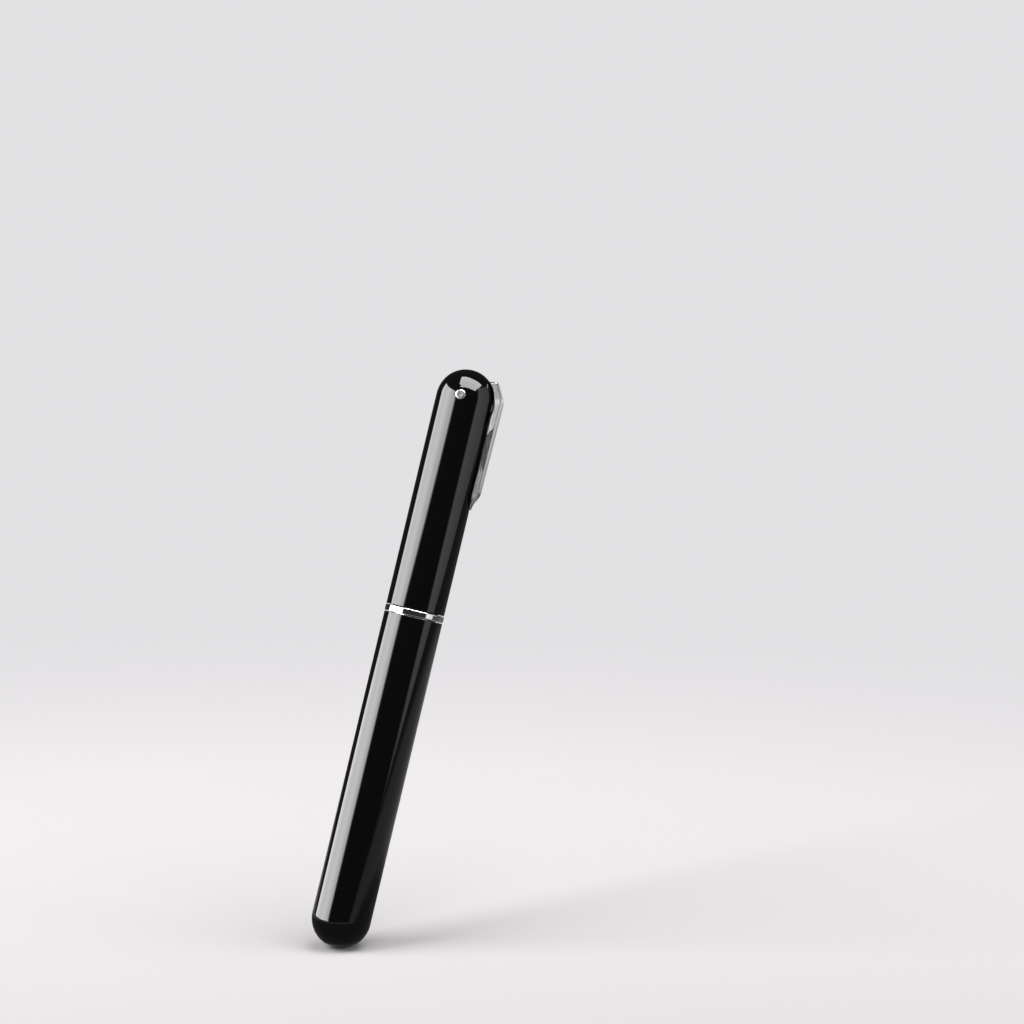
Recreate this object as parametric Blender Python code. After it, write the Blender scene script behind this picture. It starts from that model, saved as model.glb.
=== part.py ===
"""A pen-shaped air pump wine opener, in metres, with +Z along the pen and its clip end up.

The lower barrel is the handle of a hand pump. It slides on a bright tube whose head carries a
hollow needle. The upper barrel is a cap that pulls off the head and holds a sprung clip.
The origin is the lowest point of the domed foot, on the pen's axis. The clip is at +X, and the
pin that it swings on lies along Y.
"""

import math

import bmesh
import bpy
from mathutils import Vector

# The whole pen
TOTAL_LENGTH = 0.2000
BARREL_RADIUS = 0.0100
BARREL_WALL = 0.0009
HANDLE_LENGTH = 0.1142
EDGE_BREAK = 0.0002

# Clearances between neighbours
PRESS_GAP = 0.00015
SLIDE_GAP = 0.00015
SEAM_GAP = 0.0002
HOLE_GAP = 0.0001

# Bright ring at the seam
TRIM_RING_HEIGHT = 0.0022
TRIM_RING_WALL = 0.0006
TRIM_RING_PROUD = 0.00005
TRIM_RING_ROUND = 0.00035
TRIM_RING_FIT = 0.00005

# Bush in the handle's mouth
BUSH_LENGTH = 0.0095
BUSH_WALL = 0.0012
BUSH_DEPTH = 0.0007
BUSH_LEAD = 0.0005

# Plug in the foot, and the nut on it
ANCHOR_DROP = 0.0020
ANCHOR_HEIGHT = 0.0080
ANCHOR_FLOOR = 0.0008
LOCK_NUT_HEIGHT = 0.0030
LOCK_NUT_FLATS = 0.0070

# Piston and its rod
ROD_RADIUS = 0.0020
ROD_FLANGE_RADIUS = 0.0032
ROD_FLANGE_HEIGHT = 0.0012
PISTON_HEIGHT = 0.0085
PISTON_GAP = 0.0002
PISTON_HEADROOM = 0.0005
SCREW_RADIUS = 0.0012
SCREW_LENGTH = 0.0130
SCREW_HEAD_RADIUS = 0.0025
SCREW_HEAD_HEIGHT = 0.0016
SCREW_HEAD_RECESS = 0.0018
SCREW_SOCKET_FLATS = 0.0020
SCREW_SOCKET_DEPTH = 0.0009

# Rubber rings
PISTON_RING_SECTION = 0.00075
HUB_SEAL_SECTION = 0.00065
NECK_RING_SECTION = 0.00080
SEAL_SQUEEZE_GAP = 0.0001

# Pump tube and the gland in its lower end
CYLINDER_WALL = 0.0010
CYLINDER_LEAD = 0.0003
GLAND_RISE = 0.0015
GLAND_FLANGE_HEIGHT = 0.0020
GLAND_PLUG_HEIGHT = 0.0060
GLAND_AIR_HOLES = 4
GLAND_AIR_RADIUS = 0.0008
GLAND_AIR_CIRCLE = 0.0044

# Head of the pump
HUB_COLLAR_HEIGHT = 0.0024
HUB_SPIGOT_HEIGHT = 0.0080
HUB_SEAL_RISE = 0.0037
NECK_LENGTH = 0.0084
NECK_GAP = 0.0003
NECK_RING_RISE = 0.0030
NECK_CHAMFER = 0.0005
NECK_RECESS_SHARE = 0.7134
NECK_RECESS_DEPTH = 0.0034
VALVE_HOLE_RADIUS = 0.0010
VALVE_ROOM_RADIUS = 0.0023
VALVE_SEAT_RISE = 0.0014
VALVE_ROOM_TOP = 0.0100

# Check valve
BALL_RADIUS = 0.0016
BALL_GAP = 0.0001
VALVE_WIRE_RADIUS = 0.0002
VALVE_COIL_RADIUS = 0.0013
VALVE_TURNS = 5

# Needle and the fitting that holds it
FERRULE_CLEARANCE = 0.0004
FERRULE_THREAD_SHARE = 0.577
FERRULE_HEAD_HEIGHT = 0.0024
FERRULE_AIR_RADIUS = 0.0008
FERRULE_FLOOR = 0.0018
FERRULE_CHAMFER = 0.0005
GASKET_HEIGHT = 0.0006
NEEDLE_RADIUS = 0.00125
NEEDLE_BORE = 0.0007
NEEDLE_POINT = 0.0060
NEEDLE_SHOULDER_SHARE = 0.88
NEEDLE_SOLID_TIP = 0.0075
NEEDLE_PORT_RADIUS = 0.0004
NEEDLE_HEADROOM = 0.0020

# Sleeve in the cap's mouth
LINER_WALL = 0.0008
LINER_LENGTH = 0.0127
LINER_DEPTH = 0.0005
LINER_LEAD = 0.0004

# Block in the top dome
BLOCK_HEIGHT = 0.0060
SLOT_HALF_WIDTH = 0.0013
SLOT_BELOW_PIN = 0.0042
SLOT_ABOVE_PIN = 0.0056
SLOT_BEHIND_PIN = 0.0073

# Cross pin
PIN_RISE = 0.0006
PIN_RADIUS = 0.0010
PIN_HEAD_RADIUS = 0.00185
PIN_HEAD_HEIGHT = 0.00065
PIN_SEAT_DEPTH = 0.00025
PIN_SEAT_GAP = 0.0002

# Clip
CLIP_GAP = 0.0003
CLIP_DEPTH = 0.00245
CLIP_NOSE_DEPTH = 0.00205
CLIP_REACH = 0.0365
CLIP_ROOT_HALF_WIDTH = 0.0030
CLIP_TIP_HALF_WIDTH = 0.0024
CLIP_TIP_THICKNESS = 0.0003
CLIP_NOSE = 0.0062
CLIP_BOW = 0.0003
CLIP_EDGE = 0.0003
CLIP_WALL = 0.0007
CLIP_HOLLOW_ABOVE_NOSE = 0.0010
CLIP_HOLLOW_BELOW_DOME = 0.0060
CLIP_HEAD_RADIUS = 0.0120
CLIP_HEAD_DROP = 0.0005
CLIP_HEAD_INNER_ANGLE = 45.5
CLIP_HEAD_OUTER_ANGLE = 42.4
CLIP_HEAD_ROUND_ANGLE = 5.0
# Places of the clip's stations along its nose, its straight part and its head
NOSE_SHARES = (0.04, 0.2, 0.4, 0.6, 0.8)
STRAIGHT_SHARES = (0, 0.25, 0.5, 0.75, 1)
HEAD_SHARES = (0.2, 0.4, 0.6, 0.8, 0.93, 1)
# Share of the nose that is rounded in the front view, and how far the head's round starts
NOSE_ROUND_SHARE = 0.75
HEAD_ROUND_SHARE = 0.5
# Power of a quarter of a sine by which the nose rises, and how far the flanks lean in per depth
NOSE_POWER = 3
CLIP_LEAN_SHARE = 0.12

# Plate that joins the clip to its pin, and the spring under its tail
WEB_HALF_THICKNESS = 0.0010
WEB_ROOT_BELOW_PIN = 0.0034
WEB_ROOT_ABOVE_PIN = 0.0038
WEB_OVERLAP = 0.0010
EYE_RADIUS = 0.0024
EYE_ROOT_ANGLE = 75.0
TAIL_LENGTH = 0.0064
TAIL_BELOW_PIN = 0.0010
TAIL_ABOVE_PIN = 0.0010
CLIP_WIRE_RADIUS = 0.0002
CLIP_COIL_RADIUS = 0.0011
CLIP_SPRING_TURNS = 4
SPRING_POCKET_OFFSET = 0.0046
SPRING_POCKET_RADIUS = 0.00155
SPRING_POCKET_FLOOR = 0.0011
SPRING_SEAT_GAP = 0.0001

# Facets
SHELL_SEGMENTS = 48
CORE_SEGMENTS = 28
SMALL_SEGMENTS = 18
DOME_STEPS = 9
BORE_STEPS = 6
RING_STEPS = 8
EDGE_STEPS = 2
HEAD_STEPS = 3
EYE_STEPS = 4
HOLE_SEGMENTS = 8
COIL_POINTS = 9
SMOOTH_ANGLE = math.radians(35)
WELD = 1e-6
OVERRUN = 0.0010
MILLIMETRES = 1000

# Sizes that follow from those above
BARREL_BORE = BARREL_RADIUS - BARREL_WALL
BUSH_OUTER = BARREL_BORE - PRESS_GAP
BUSH_INNER = BUSH_OUTER - BUSH_WALL
CYLINDER_RADIUS = BUSH_INNER - SLIDE_GAP
CYLINDER_BORE = CYLINDER_RADIUS - CYLINDER_WALL
PLUG_RADIUS = CYLINDER_BORE - PRESS_GAP
PISTON_RADIUS = CYLINDER_BORE - PISTON_GAP
FLANGE_RADIUS = BARREL_BORE - 2 * SLIDE_GAP
RING_BORE = BARREL_RADIUS + TRIM_RING_PROUD - TRIM_RING_WALL
HUB_FLANGE_RADIUS = RING_BORE - TRIM_RING_FIT
LINER_OUTER = BARREL_BORE - PRESS_GAP
LINER_INNER = LINER_OUTER - LINER_WALL
NECK_RADIUS = LINER_INNER - NECK_GAP
NECK_RECESS_RADIUS = NECK_RADIUS * NECK_RECESS_SHARE
FERRULE_CORNER = NECK_RECESS_RADIUS - FERRULE_CLEARANCE
FERRULE_RADIUS = FERRULE_CORNER * FERRULE_THREAD_SHARE
DOME_CORE = BARREL_BORE - PRESS_GAP
PIN_SEAT = BARREL_RADIUS - PIN_SEAT_DEPTH
CLIP_INNER = BARREL_RADIUS + CLIP_GAP

# Heights of the pieces on the whole pen
RING_BASE = HANDLE_LENGTH + SEAM_GAP
RING_TOP = RING_BASE + TRIM_RING_HEIGHT
CAP_MOUTH = RING_TOP + SEAM_GAP
CAP_LENGTH = TOTAL_LENGTH - CAP_MOUTH
DOME_CENTRE = TOTAL_LENGTH - BARREL_RADIUS
NECK_TOP = RING_TOP + NECK_LENGTH
ANCHOR_BASE = BARREL_RADIUS - ANCHOR_DROP
ANCHOR_TOP = ANCHOR_BASE + ANCHOR_HEIGHT
LOCK_NUT_TOP = ANCHOR_TOP + LOCK_NUT_HEIGHT
GLAND_BASE = LOCK_NUT_TOP + GLAND_RISE
CYLINDER_BASE = GLAND_BASE + GLAND_FLANGE_HEIGHT
CYLINDER_TOP = RING_BASE - HUB_COLLAR_HEIGHT
HUB_BASE = CYLINDER_TOP - HUB_SPIGOT_HEIGHT
PISTON_TOP = HUB_BASE - PISTON_HEADROOM
PISTON_BASE = PISTON_TOP - PISTON_HEIGHT
ROD_BASE = ANCHOR_BASE + ANCHOR_FLOOR
RECESS_FLOOR = NECK_TOP - NECK_RECESS_DEPTH
HEAD_BASE = RECESS_FLOOR + GASKET_HEIGHT
FERRULE_BASE = HUB_BASE + VALVE_ROOM_TOP
NEEDLE_BASE = FERRULE_BASE + FERRULE_FLOOR
BLOCK_BASE = DOME_CENTRE - BLOCK_HEIGHT
NEEDLE_TIP = BLOCK_BASE - NEEDLE_HEADROOM
PIN_HEIGHT = DOME_CENTRE + PIN_RISE
BALL_LIFT = (BALL_RADIUS + BALL_GAP) * math.sqrt(2) - VALVE_HOLE_RADIUS
BALL_HEIGHT = HUB_BASE + VALVE_SEAT_RISE + BALL_LIFT

# Colour, roughness and metallic value of each finish
FINISHES = {
    "black_lacquer": ((0.010, 0.010, 0.011, 1.0), 0.08, 0.0),
    "chrome_plate": ((0.78, 0.79, 0.80, 1.0), 0.06, 1.0),
    "bright_steel": ((0.62, 0.62, 0.63, 1.0), 0.20, 1.0),
    "spring_steel": ((0.48, 0.48, 0.50, 1.0), 0.30, 1.0),
    "aluminium": ((0.72, 0.73, 0.74, 1.0), 0.32, 1.0),
    "brass": ((0.72, 0.52, 0.22, 1.0), 0.25, 1.0),
    "black_nylon": ((0.030, 0.030, 0.032, 1.0), 0.50, 0.0),
    "white_acetal": ((0.75, 0.75, 0.72, 1.0), 0.45, 0.0),
    "rubber": ((0.018, 0.018, 0.018, 1.0), 0.75, 0.0),
}


def arc(centre, radius, start, end, steps):
    """Points on an arc round centre, from start to end in degrees, both included."""
    turns = [math.radians(start + (end - start) * step / steps) for step in range(steps + 1)]
    return [
        (centre[0] + radius * math.cos(turn), centre[1] + radius * math.sin(turn))
        for turn in turns
    ]


def quarter_round(share):
    """Half width of a round end, from 0 at its tip to 1 where it meets the straight sides."""
    return math.sqrt(1 - (1 - min(max(share, 0), 1)) ** 2)


def finished(mesh, name, finish):
    """Makes an object of a bmesh: faces turned out, smooth but for its sharp edges, own material."""
    bmesh.ops.remove_doubles(mesh, verts=mesh.verts, dist=WELD)
    bmesh.ops.recalc_face_normals(mesh, faces=mesh.faces)
    data = bpy.data.meshes.new(name)
    mesh.to_mesh(data)
    mesh.free()
    data.shade_smooth()
    data.set_sharp_from_angle(angle=SMOOTH_ANGLE)
    return linked(name, data, finish)


def linked(name, data, finish):
    """Puts data in the scene as an object with its own material."""
    colour, roughness, metallic = FINISHES[finish]
    material = bpy.data.materials.new(f"{name}_{finish}")
    material.use_nodes = True
    shader = material.node_tree.nodes["Principled BSDF"]
    shader.inputs["Base Color"].default_value = colour
    shader.inputs["Roughness"].default_value = roughness
    shader.inputs["Metallic"].default_value = metallic
    data.materials.append(material)
    piece = bpy.data.objects.new(name, data)
    bpy.context.scene.collection.objects.link(piece)
    return piece


def turned(name, outline, segments, finish):
    """A closed outline of (radius, height) points, spun once round Z. It is closed on the axis."""
    mesh = bmesh.new()
    points = [mesh.verts.new((radius, 0, height)) for radius, height in outline]
    edges = [
        mesh.edges.new(pair)
        for pair in zip(points, points[1:] + points[:1])
        if max(point.co.x for point in pair) > WELD
    ]
    bmesh.ops.spin(
        mesh,
        geom=points + edges,
        cent=(0, 0, 0),
        axis=(0, 0, 1),
        angle=2 * math.pi,
        steps=segments,
        use_merge=True,
    )
    return finished(mesh, name, finish)


def lofted(name, sections, finish):
    """Rings of equally many points, joined ring to ring, with a flat face on the first and last."""
    mesh = bmesh.new()
    rings = [[mesh.verts.new(point) for point in section] for section in sections]
    for lower, upper in zip(rings, rings[1:]):
        for side in range(len(lower)):
            mesh.faces.new((lower[side - 1], lower[side], upper[side], upper[side - 1]))
    mesh.faces.new(rings[0])
    mesh.faces.new(rings[-1])
    return finished(mesh, name, finish)


def plate(name, outline, half_thickness, finish):
    """A flat plate of (x, z) points, half_thickness to each side of y = 0."""
    sides = [[(x, y, z) for x, z in outline] for y in (-half_thickness, half_thickness)]
    return lofted(name, sides, finish)


def coil_points(coil_radius, wire_radius, length, turns):
    """Points along the middle of the wire of a coil that stands on z = 0."""
    last = turns * COIL_POINTS
    points = []
    for step in range(last + 1):
        turn = 2 * math.pi * step / COIL_POINTS
        height = wire_radius + (length - 2 * wire_radius) * step / last
        points.append(Vector((coil_radius * math.cos(turn), coil_radius * math.sin(turn), height)))
    return points


def least_gap(points, wire_radius):
    """Least gap of a coil to itself, between points that lie half a turn or more apart."""
    half_turn = COIL_POINTS // 2
    apart = min(
        (first - second).length
        for number, first in enumerate(points[:-half_turn])
        for second in points[number + half_turn :]
    )
    return apart - 2 * wire_radius


def spring(name, coil_radius, wire_radius, length, turns, finish):
    """A coil of round wire that stands on z = 0 and is length high over the wire."""
    points = coil_points(coil_radius, wire_radius, length, turns)
    gap = least_gap(points, wire_radius)
    print(f"{name}: least gap to itself {gap * MILLIMETRES:.2f} mm")
    curve = bpy.data.curves.new(name, "CURVE")
    curve.dimensions = "3D"
    curve.bevel_depth = wire_radius
    curve.bevel_resolution = 1
    curve.use_fill_caps = True
    line = curve.splines.new("POLY")
    line.points.add(len(points) - 1)
    for point, place in zip(line.points, points):
        point.co = (*place, 1)
    return linked(name, curve, finish)


def cut(target, tool, place=(0, 0, 0), operation="DIFFERENCE"):
    """Takes tool away from target, or unites them. The tool stays under target as a guide."""
    tool.parent = target
    tool.location = place
    tool.hide_render = True
    tool.display_type = "WIRE"
    modifier = target.modifiers.new(tool.name, "BOOLEAN")
    modifier.operation = operation
    modifier.solver = "EXACT"
    modifier.object = tool


def along_y(piece):
    """Lays a turned piece along Y."""
    piece.rotation_euler.x = math.pi / 2
    return piece


def hexagon_corner(flats):
    """Corner radius of a hexagon from its width over the flats."""
    return flats / math.sqrt(3)


def cut_hexagon(target, corner, base, top):
    """Mills six flats on target between two heights, out to a corner radius."""
    outline = [(corner, base), (2 * corner, base), (2 * corner, top), (corner, top)]
    cut(target, turned(f"{target.name}_flats", outline, 6, "bright_steel"))


def ring_outline(inner, outer, height, edge):
    """Outline of a plain ring that stands on z = 0, with its outer edges broken."""
    return [
        (inner, 0),
        (outer - edge, 0),
        (outer, edge),
        (outer, height - edge),
        (outer - edge, height),
        (inner, height),
    ]


def barrel_outline(length):
    """Outline of a thin tube with a domed foot on z = 0 and an open mouth at length."""
    centre = (0, BARREL_RADIUS)
    mouth = [
        (BARREL_RADIUS, length - EDGE_BREAK),
        (BARREL_RADIUS - EDGE_BREAK, length),
        (BARREL_BORE, length),
    ]
    outside = arc(centre, BARREL_RADIUS, -90, 0, DOME_STEPS)
    inside = arc(centre, BARREL_BORE, 0, -90, BORE_STEPS)
    return outside + mouth + inside


def seal_centre(bore, section):
    """Radius of the middle of a rubber ring's section, where the ring lies in a bore."""
    return bore - SEAL_SQUEEZE_GAP - section


def groove(outer, bore, section, middle):
    """Outline points, bottom to top, of the groove in a shaft that holds a rubber ring."""
    floor = seal_centre(bore, section) - section - SEAL_SQUEEZE_GAP
    half = section + SEAL_SQUEEZE_GAP
    return [
        (outer, middle - half),
        (floor, middle - half),
        (floor, middle + half),
        (outer, middle + half),
    ]


def rubber_ring(name, bore, section):
    """A round rubber ring for a bore, with the middle of its section at z = 0."""
    outline = arc((seal_centre(bore, section), 0), section, 0, 360, RING_STEPS)[:-1]
    return turned(name, outline, CORE_SEGMENTS, "rubber")


def make_handle_tube():
    """Lower barrel. It stands on z = 0."""
    outline = barrel_outline(HANDLE_LENGTH)
    return turned("handle_tube", outline, SHELL_SEGMENTS, "black_lacquer")


def make_guide_bush():
    """Bush that the pump tube slides in, with a lead at both ends of its bore."""
    outline = [
        (BUSH_INNER + BUSH_LEAD, 0),
        (BUSH_OUTER, 0),
        (BUSH_OUTER, BUSH_LENGTH),
        (BUSH_INNER + BUSH_LEAD, BUSH_LENGTH),
        (BUSH_INNER, BUSH_LENGTH - BUSH_LEAD),
        (BUSH_INNER, BUSH_LEAD),
    ]
    return turned("guide_bush", outline, CORE_SEGMENTS, "white_acetal")


def make_rod_anchor():
    """Plug in the foot, round below like the dome it sits in, with a blind hole for the rod."""
    low = math.degrees(math.asin(ANCHOR_DROP / DOME_CORE))
    hole = ROD_RADIUS + HOLE_GAP
    outline = [(0, 0)]
    outline += arc((0, ANCHOR_DROP), DOME_CORE, -low, 0, EDGE_STEPS)
    outline += [
        (DOME_CORE, ANCHOR_HEIGHT - EDGE_BREAK),
        (DOME_CORE - EDGE_BREAK, ANCHOR_HEIGHT),
        (hole, ANCHOR_HEIGHT),
        (hole, ANCHOR_FLOOR),
        (0, ANCHOR_FLOOR),
    ]
    return turned("rod_anchor", outline, CORE_SEGMENTS, "black_nylon")


def make_rod_lock_nut():
    """Thin hexagon nut that locks the rod in its anchor."""
    corner = hexagon_corner(LOCK_NUT_FLATS)
    hole = ROD_RADIUS + HOLE_GAP
    outline = ring_outline(hole, corner, LOCK_NUT_HEIGHT, corner - LOCK_NUT_FLATS / 2)
    nut = turned("rod_lock_nut", outline, SMALL_SEGMENTS, "bright_steel")
    cut_hexagon(nut, corner, -OVERRUN, LOCK_NUT_HEIGHT + OVERRUN)
    return nut


def make_piston_rod():
    """Rod with a flange under the piston and a hole for the piston's screw in its top."""
    length = PISTON_BASE - ROD_BASE
    shoulder = length - ROD_FLANGE_HEIGHT
    hole = SCREW_RADIUS + HOLE_GAP
    hole_floor = length + PISTON_HEIGHT - SCREW_HEAD_RECESS - SCREW_LENGTH - OVERRUN
    outline = [
        (0, 0),
        (ROD_RADIUS - EDGE_BREAK, 0),
        (ROD_RADIUS, EDGE_BREAK),
        (ROD_RADIUS, shoulder),
        (ROD_FLANGE_RADIUS, shoulder),
        (ROD_FLANGE_RADIUS, length),
        (hole, length),
        (hole, hole_floor),
        (0, hole_floor),
    ]
    return turned("piston_rod", outline, SMALL_SEGMENTS, "bright_steel")


def make_piston():
    """Piston with the groove for its ring and a recess for the screw's head."""
    hole = SCREW_RADIUS + HOLE_GAP
    recess = SCREW_HEAD_RADIUS + PISTON_GAP
    recess_floor = PISTON_HEIGHT - SCREW_HEAD_RECESS
    outline = [(hole, 0), (PISTON_RADIUS - EDGE_BREAK, 0), (PISTON_RADIUS, EDGE_BREAK)]
    outline += groove(PISTON_RADIUS, CYLINDER_BORE, PISTON_RING_SECTION, PISTON_HEIGHT / 2)
    outline += [
        (PISTON_RADIUS, PISTON_HEIGHT - EDGE_BREAK),
        (PISTON_RADIUS - EDGE_BREAK, PISTON_HEIGHT),
        (recess, PISTON_HEIGHT),
        (recess, recess_floor),
        (hole, recess_floor),
    ]
    return turned("piston", outline, CORE_SEGMENTS, "white_acetal")


def make_piston_screw():
    """Socket screw that clamps the piston to the rod. Its head rests on z = 0."""
    outline = [
        (0, -SCREW_LENGTH),
        (SCREW_RADIUS - EDGE_BREAK, -SCREW_LENGTH),
        (SCREW_RADIUS, EDGE_BREAK - SCREW_LENGTH),
        (SCREW_RADIUS, 0),
        (SCREW_HEAD_RADIUS, 0),
        (SCREW_HEAD_RADIUS, SCREW_HEAD_HEIGHT - EDGE_BREAK),
        (SCREW_HEAD_RADIUS - EDGE_BREAK, SCREW_HEAD_HEIGHT),
        (0, SCREW_HEAD_HEIGHT),
    ]
    screw = turned("piston_screw", outline, SMALL_SEGMENTS, "bright_steel")
    corner = hexagon_corner(SCREW_SOCKET_FLATS)
    floor = SCREW_HEAD_HEIGHT - SCREW_SOCKET_DEPTH
    top = SCREW_HEAD_HEIGHT + OVERRUN
    socket = [(0, floor), (corner, floor), (corner, top), (0, top)]
    cut(screw, turned("piston_screw_socket", socket, 6, "bright_steel"))
    return screw


def make_pump_cylinder():
    """Bright tube that the handle slides along, with both ends of its bore eased."""
    length = CYLINDER_TOP - CYLINDER_BASE
    outline = [
        (CYLINDER_BORE + CYLINDER_LEAD, 0),
        (CYLINDER_RADIUS - EDGE_BREAK, 0),
        (CYLINDER_RADIUS, EDGE_BREAK),
        (CYLINDER_RADIUS, length),
        (CYLINDER_BORE + CYLINDER_LEAD, length),
        (CYLINDER_BORE, length - CYLINDER_LEAD),
        (CYLINDER_BORE, CYLINDER_LEAD),
    ]
    return turned("pump_cylinder", outline, SHELL_SEGMENTS, "chrome_plate")


def make_rod_gland():
    """Plug in the cylinder's lower end: the rod runs through it, and air through its holes."""
    height = GLAND_FLANGE_HEIGHT + GLAND_PLUG_HEIGHT
    hole = ROD_RADIUS + SLIDE_GAP
    outline = [
        (hole, 0),
        (FLANGE_RADIUS - EDGE_BREAK, 0),
        (FLANGE_RADIUS, EDGE_BREAK),
        (FLANGE_RADIUS, GLAND_FLANGE_HEIGHT),
        (PLUG_RADIUS, GLAND_FLANGE_HEIGHT),
        (PLUG_RADIUS, height - EDGE_BREAK),
        (PLUG_RADIUS - EDGE_BREAK, height),
        (hole, height),
    ]
    gland = turned("rod_gland", outline, CORE_SEGMENTS, "black_nylon")
    bore = [
        (0, -OVERRUN),
        (GLAND_AIR_RADIUS, -OVERRUN),
        (GLAND_AIR_RADIUS, height + OVERRUN),
        (0, height + OVERRUN),
    ]
    for number in range(GLAND_AIR_HOLES):
        turn = 2 * math.pi * (number + 0.5) / GLAND_AIR_HOLES
        place = (GLAND_AIR_CIRCLE * math.cos(turn), GLAND_AIR_CIRCLE * math.sin(turn), 0)
        drill = turned(f"rod_gland_air_{number + 1}", bore, HOLE_SEGMENTS, "black_nylon")
        cut(gland, drill, place)
    return gland


def make_needle_hub():
    """Head of the pump, from the spigot in the cylinder up to the face that meets the bottle.

    Air comes up through the hole in its middle, past the seat of the valve's ball.
    """
    shoulder = CYLINDER_TOP - HUB_BASE
    flange_base = RING_BASE - HUB_BASE
    flange_top = RING_TOP - HUB_BASE
    top = NECK_TOP - HUB_BASE
    recess_floor = RECESS_FLOOR - HUB_BASE
    socket = FERRULE_RADIUS + HOLE_GAP
    seat_top = VALVE_SEAT_RISE + VALVE_ROOM_RADIUS - VALVE_HOLE_RADIUS
    outline = [(VALVE_HOLE_RADIUS, 0), (PLUG_RADIUS - EDGE_BREAK, 0), (PLUG_RADIUS, EDGE_BREAK)]
    outline += groove(PLUG_RADIUS, CYLINDER_BORE, HUB_SEAL_SECTION, HUB_SEAL_RISE)
    outline += [
        (PLUG_RADIUS, shoulder),
        (CYLINDER_RADIUS, shoulder),
        (CYLINDER_RADIUS, flange_base),
        (HUB_FLANGE_RADIUS, flange_base),
        (HUB_FLANGE_RADIUS, flange_top),
        (NECK_RADIUS, flange_top),
    ]
    outline += groove(NECK_RADIUS, LINER_INNER, NECK_RING_SECTION, flange_top + NECK_RING_RISE)
    outline += [
        (NECK_RADIUS, top - NECK_CHAMFER),
        (NECK_RADIUS - NECK_CHAMFER, top),
        (NECK_RECESS_RADIUS, top),
        (NECK_RECESS_RADIUS, recess_floor),
        (socket, recess_floor),
        (socket, VALVE_ROOM_TOP),
        (VALVE_ROOM_RADIUS, VALVE_ROOM_TOP),
        (VALVE_ROOM_RADIUS, seat_top),
        (VALVE_HOLE_RADIUS, VALVE_SEAT_RISE),
    ]
    return turned("needle_hub", outline, CORE_SEGMENTS, "aluminium")


def make_trim_ring():
    """Bright ring at the seam, pressed on the hub's flange, with rounded edges."""
    outer = BARREL_RADIUS + TRIM_RING_PROUD
    centre = outer - TRIM_RING_ROUND
    outline = [(RING_BORE, 0)]
    for height, start in ((TRIM_RING_ROUND, -90), (TRIM_RING_HEIGHT - TRIM_RING_ROUND, 0)):
        outline += arc((centre, height), TRIM_RING_ROUND, start, start + 90, EDGE_STEPS)
    outline += [(RING_BORE, TRIM_RING_HEIGHT)]
    return turned("trim_ring", outline, SHELL_SEGMENTS, "chrome_plate")


def make_needle_ferrule():
    """Hexagon fitting that is screwed into the hub over its gasket and holds the needle."""
    head = HEAD_BASE - FERRULE_BASE
    top = head + FERRULE_HEAD_HEIGHT
    hole = NEEDLE_RADIUS + HOLE_GAP
    outline = [
        (FERRULE_AIR_RADIUS, 0),
        (FERRULE_RADIUS - EDGE_BREAK, 0),
        (FERRULE_RADIUS, EDGE_BREAK),
        (FERRULE_RADIUS, head),
        (FERRULE_CORNER, head),
        (FERRULE_CORNER, top - FERRULE_CHAMFER),
        (FERRULE_CORNER - FERRULE_CHAMFER, top),
        (hole, top),
        (hole, FERRULE_FLOOR),
        (FERRULE_AIR_RADIUS, FERRULE_FLOOR),
    ]
    ferrule = turned("needle_ferrule", outline, SMALL_SEGMENTS, "brass")
    cut_hexagon(ferrule, FERRULE_CORNER, head - HOLE_GAP, top + OVERRUN)
    return ferrule


def make_needle_gasket():
    """Flat washer under the ferrule's head."""
    inner = FERRULE_RADIUS + HOLE_GAP
    outline = [
        (inner, 0),
        (FERRULE_CORNER, 0),
        (FERRULE_CORNER, GASKET_HEIGHT),
        (inner, GASKET_HEIGHT),
    ]
    return turned("needle_gasket", outline, SMALL_SEGMENTS, "rubber")


def make_needle():
    """Hollow needle with a long closed point and one port in its side, just under the point."""
    length = NEEDLE_TIP - NEEDLE_BASE
    bore_top = length - NEEDLE_SOLID_TIP
    outline = [
        (NEEDLE_BORE, 0),
        (NEEDLE_RADIUS, 0),
        (NEEDLE_RADIUS, length - NEEDLE_POINT),
        (NEEDLE_RADIUS * NEEDLE_SHOULDER_SHARE, length - NEEDLE_POINT / 2),
        (EDGE_BREAK, length - EDGE_BREAK),
        (0, length),
        (0, bore_top),
        (NEEDLE_BORE, bore_top - NEEDLE_BORE),
    ]
    needle = turned("needle", outline, SMALL_SEGMENTS, "bright_steel")
    reach = NEEDLE_RADIUS + OVERRUN
    port = [(0, 0), (NEEDLE_PORT_RADIUS, 0), (NEEDLE_PORT_RADIUS, reach), (0, reach)]
    drill = along_y(turned("needle_port", port, HOLE_SEGMENTS, "bright_steel"))
    cut(needle, drill, (0, 0, bore_top - 2 * NEEDLE_BORE))
    return needle


def make_valve_ball():
    """Steel ball of the check valve, with its middle at z = 0."""
    outline = arc((0, 0), BALL_RADIUS, -90, 90, RING_STEPS)
    return turned("valve_ball", outline, SMALL_SEGMENTS, "bright_steel")


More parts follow.
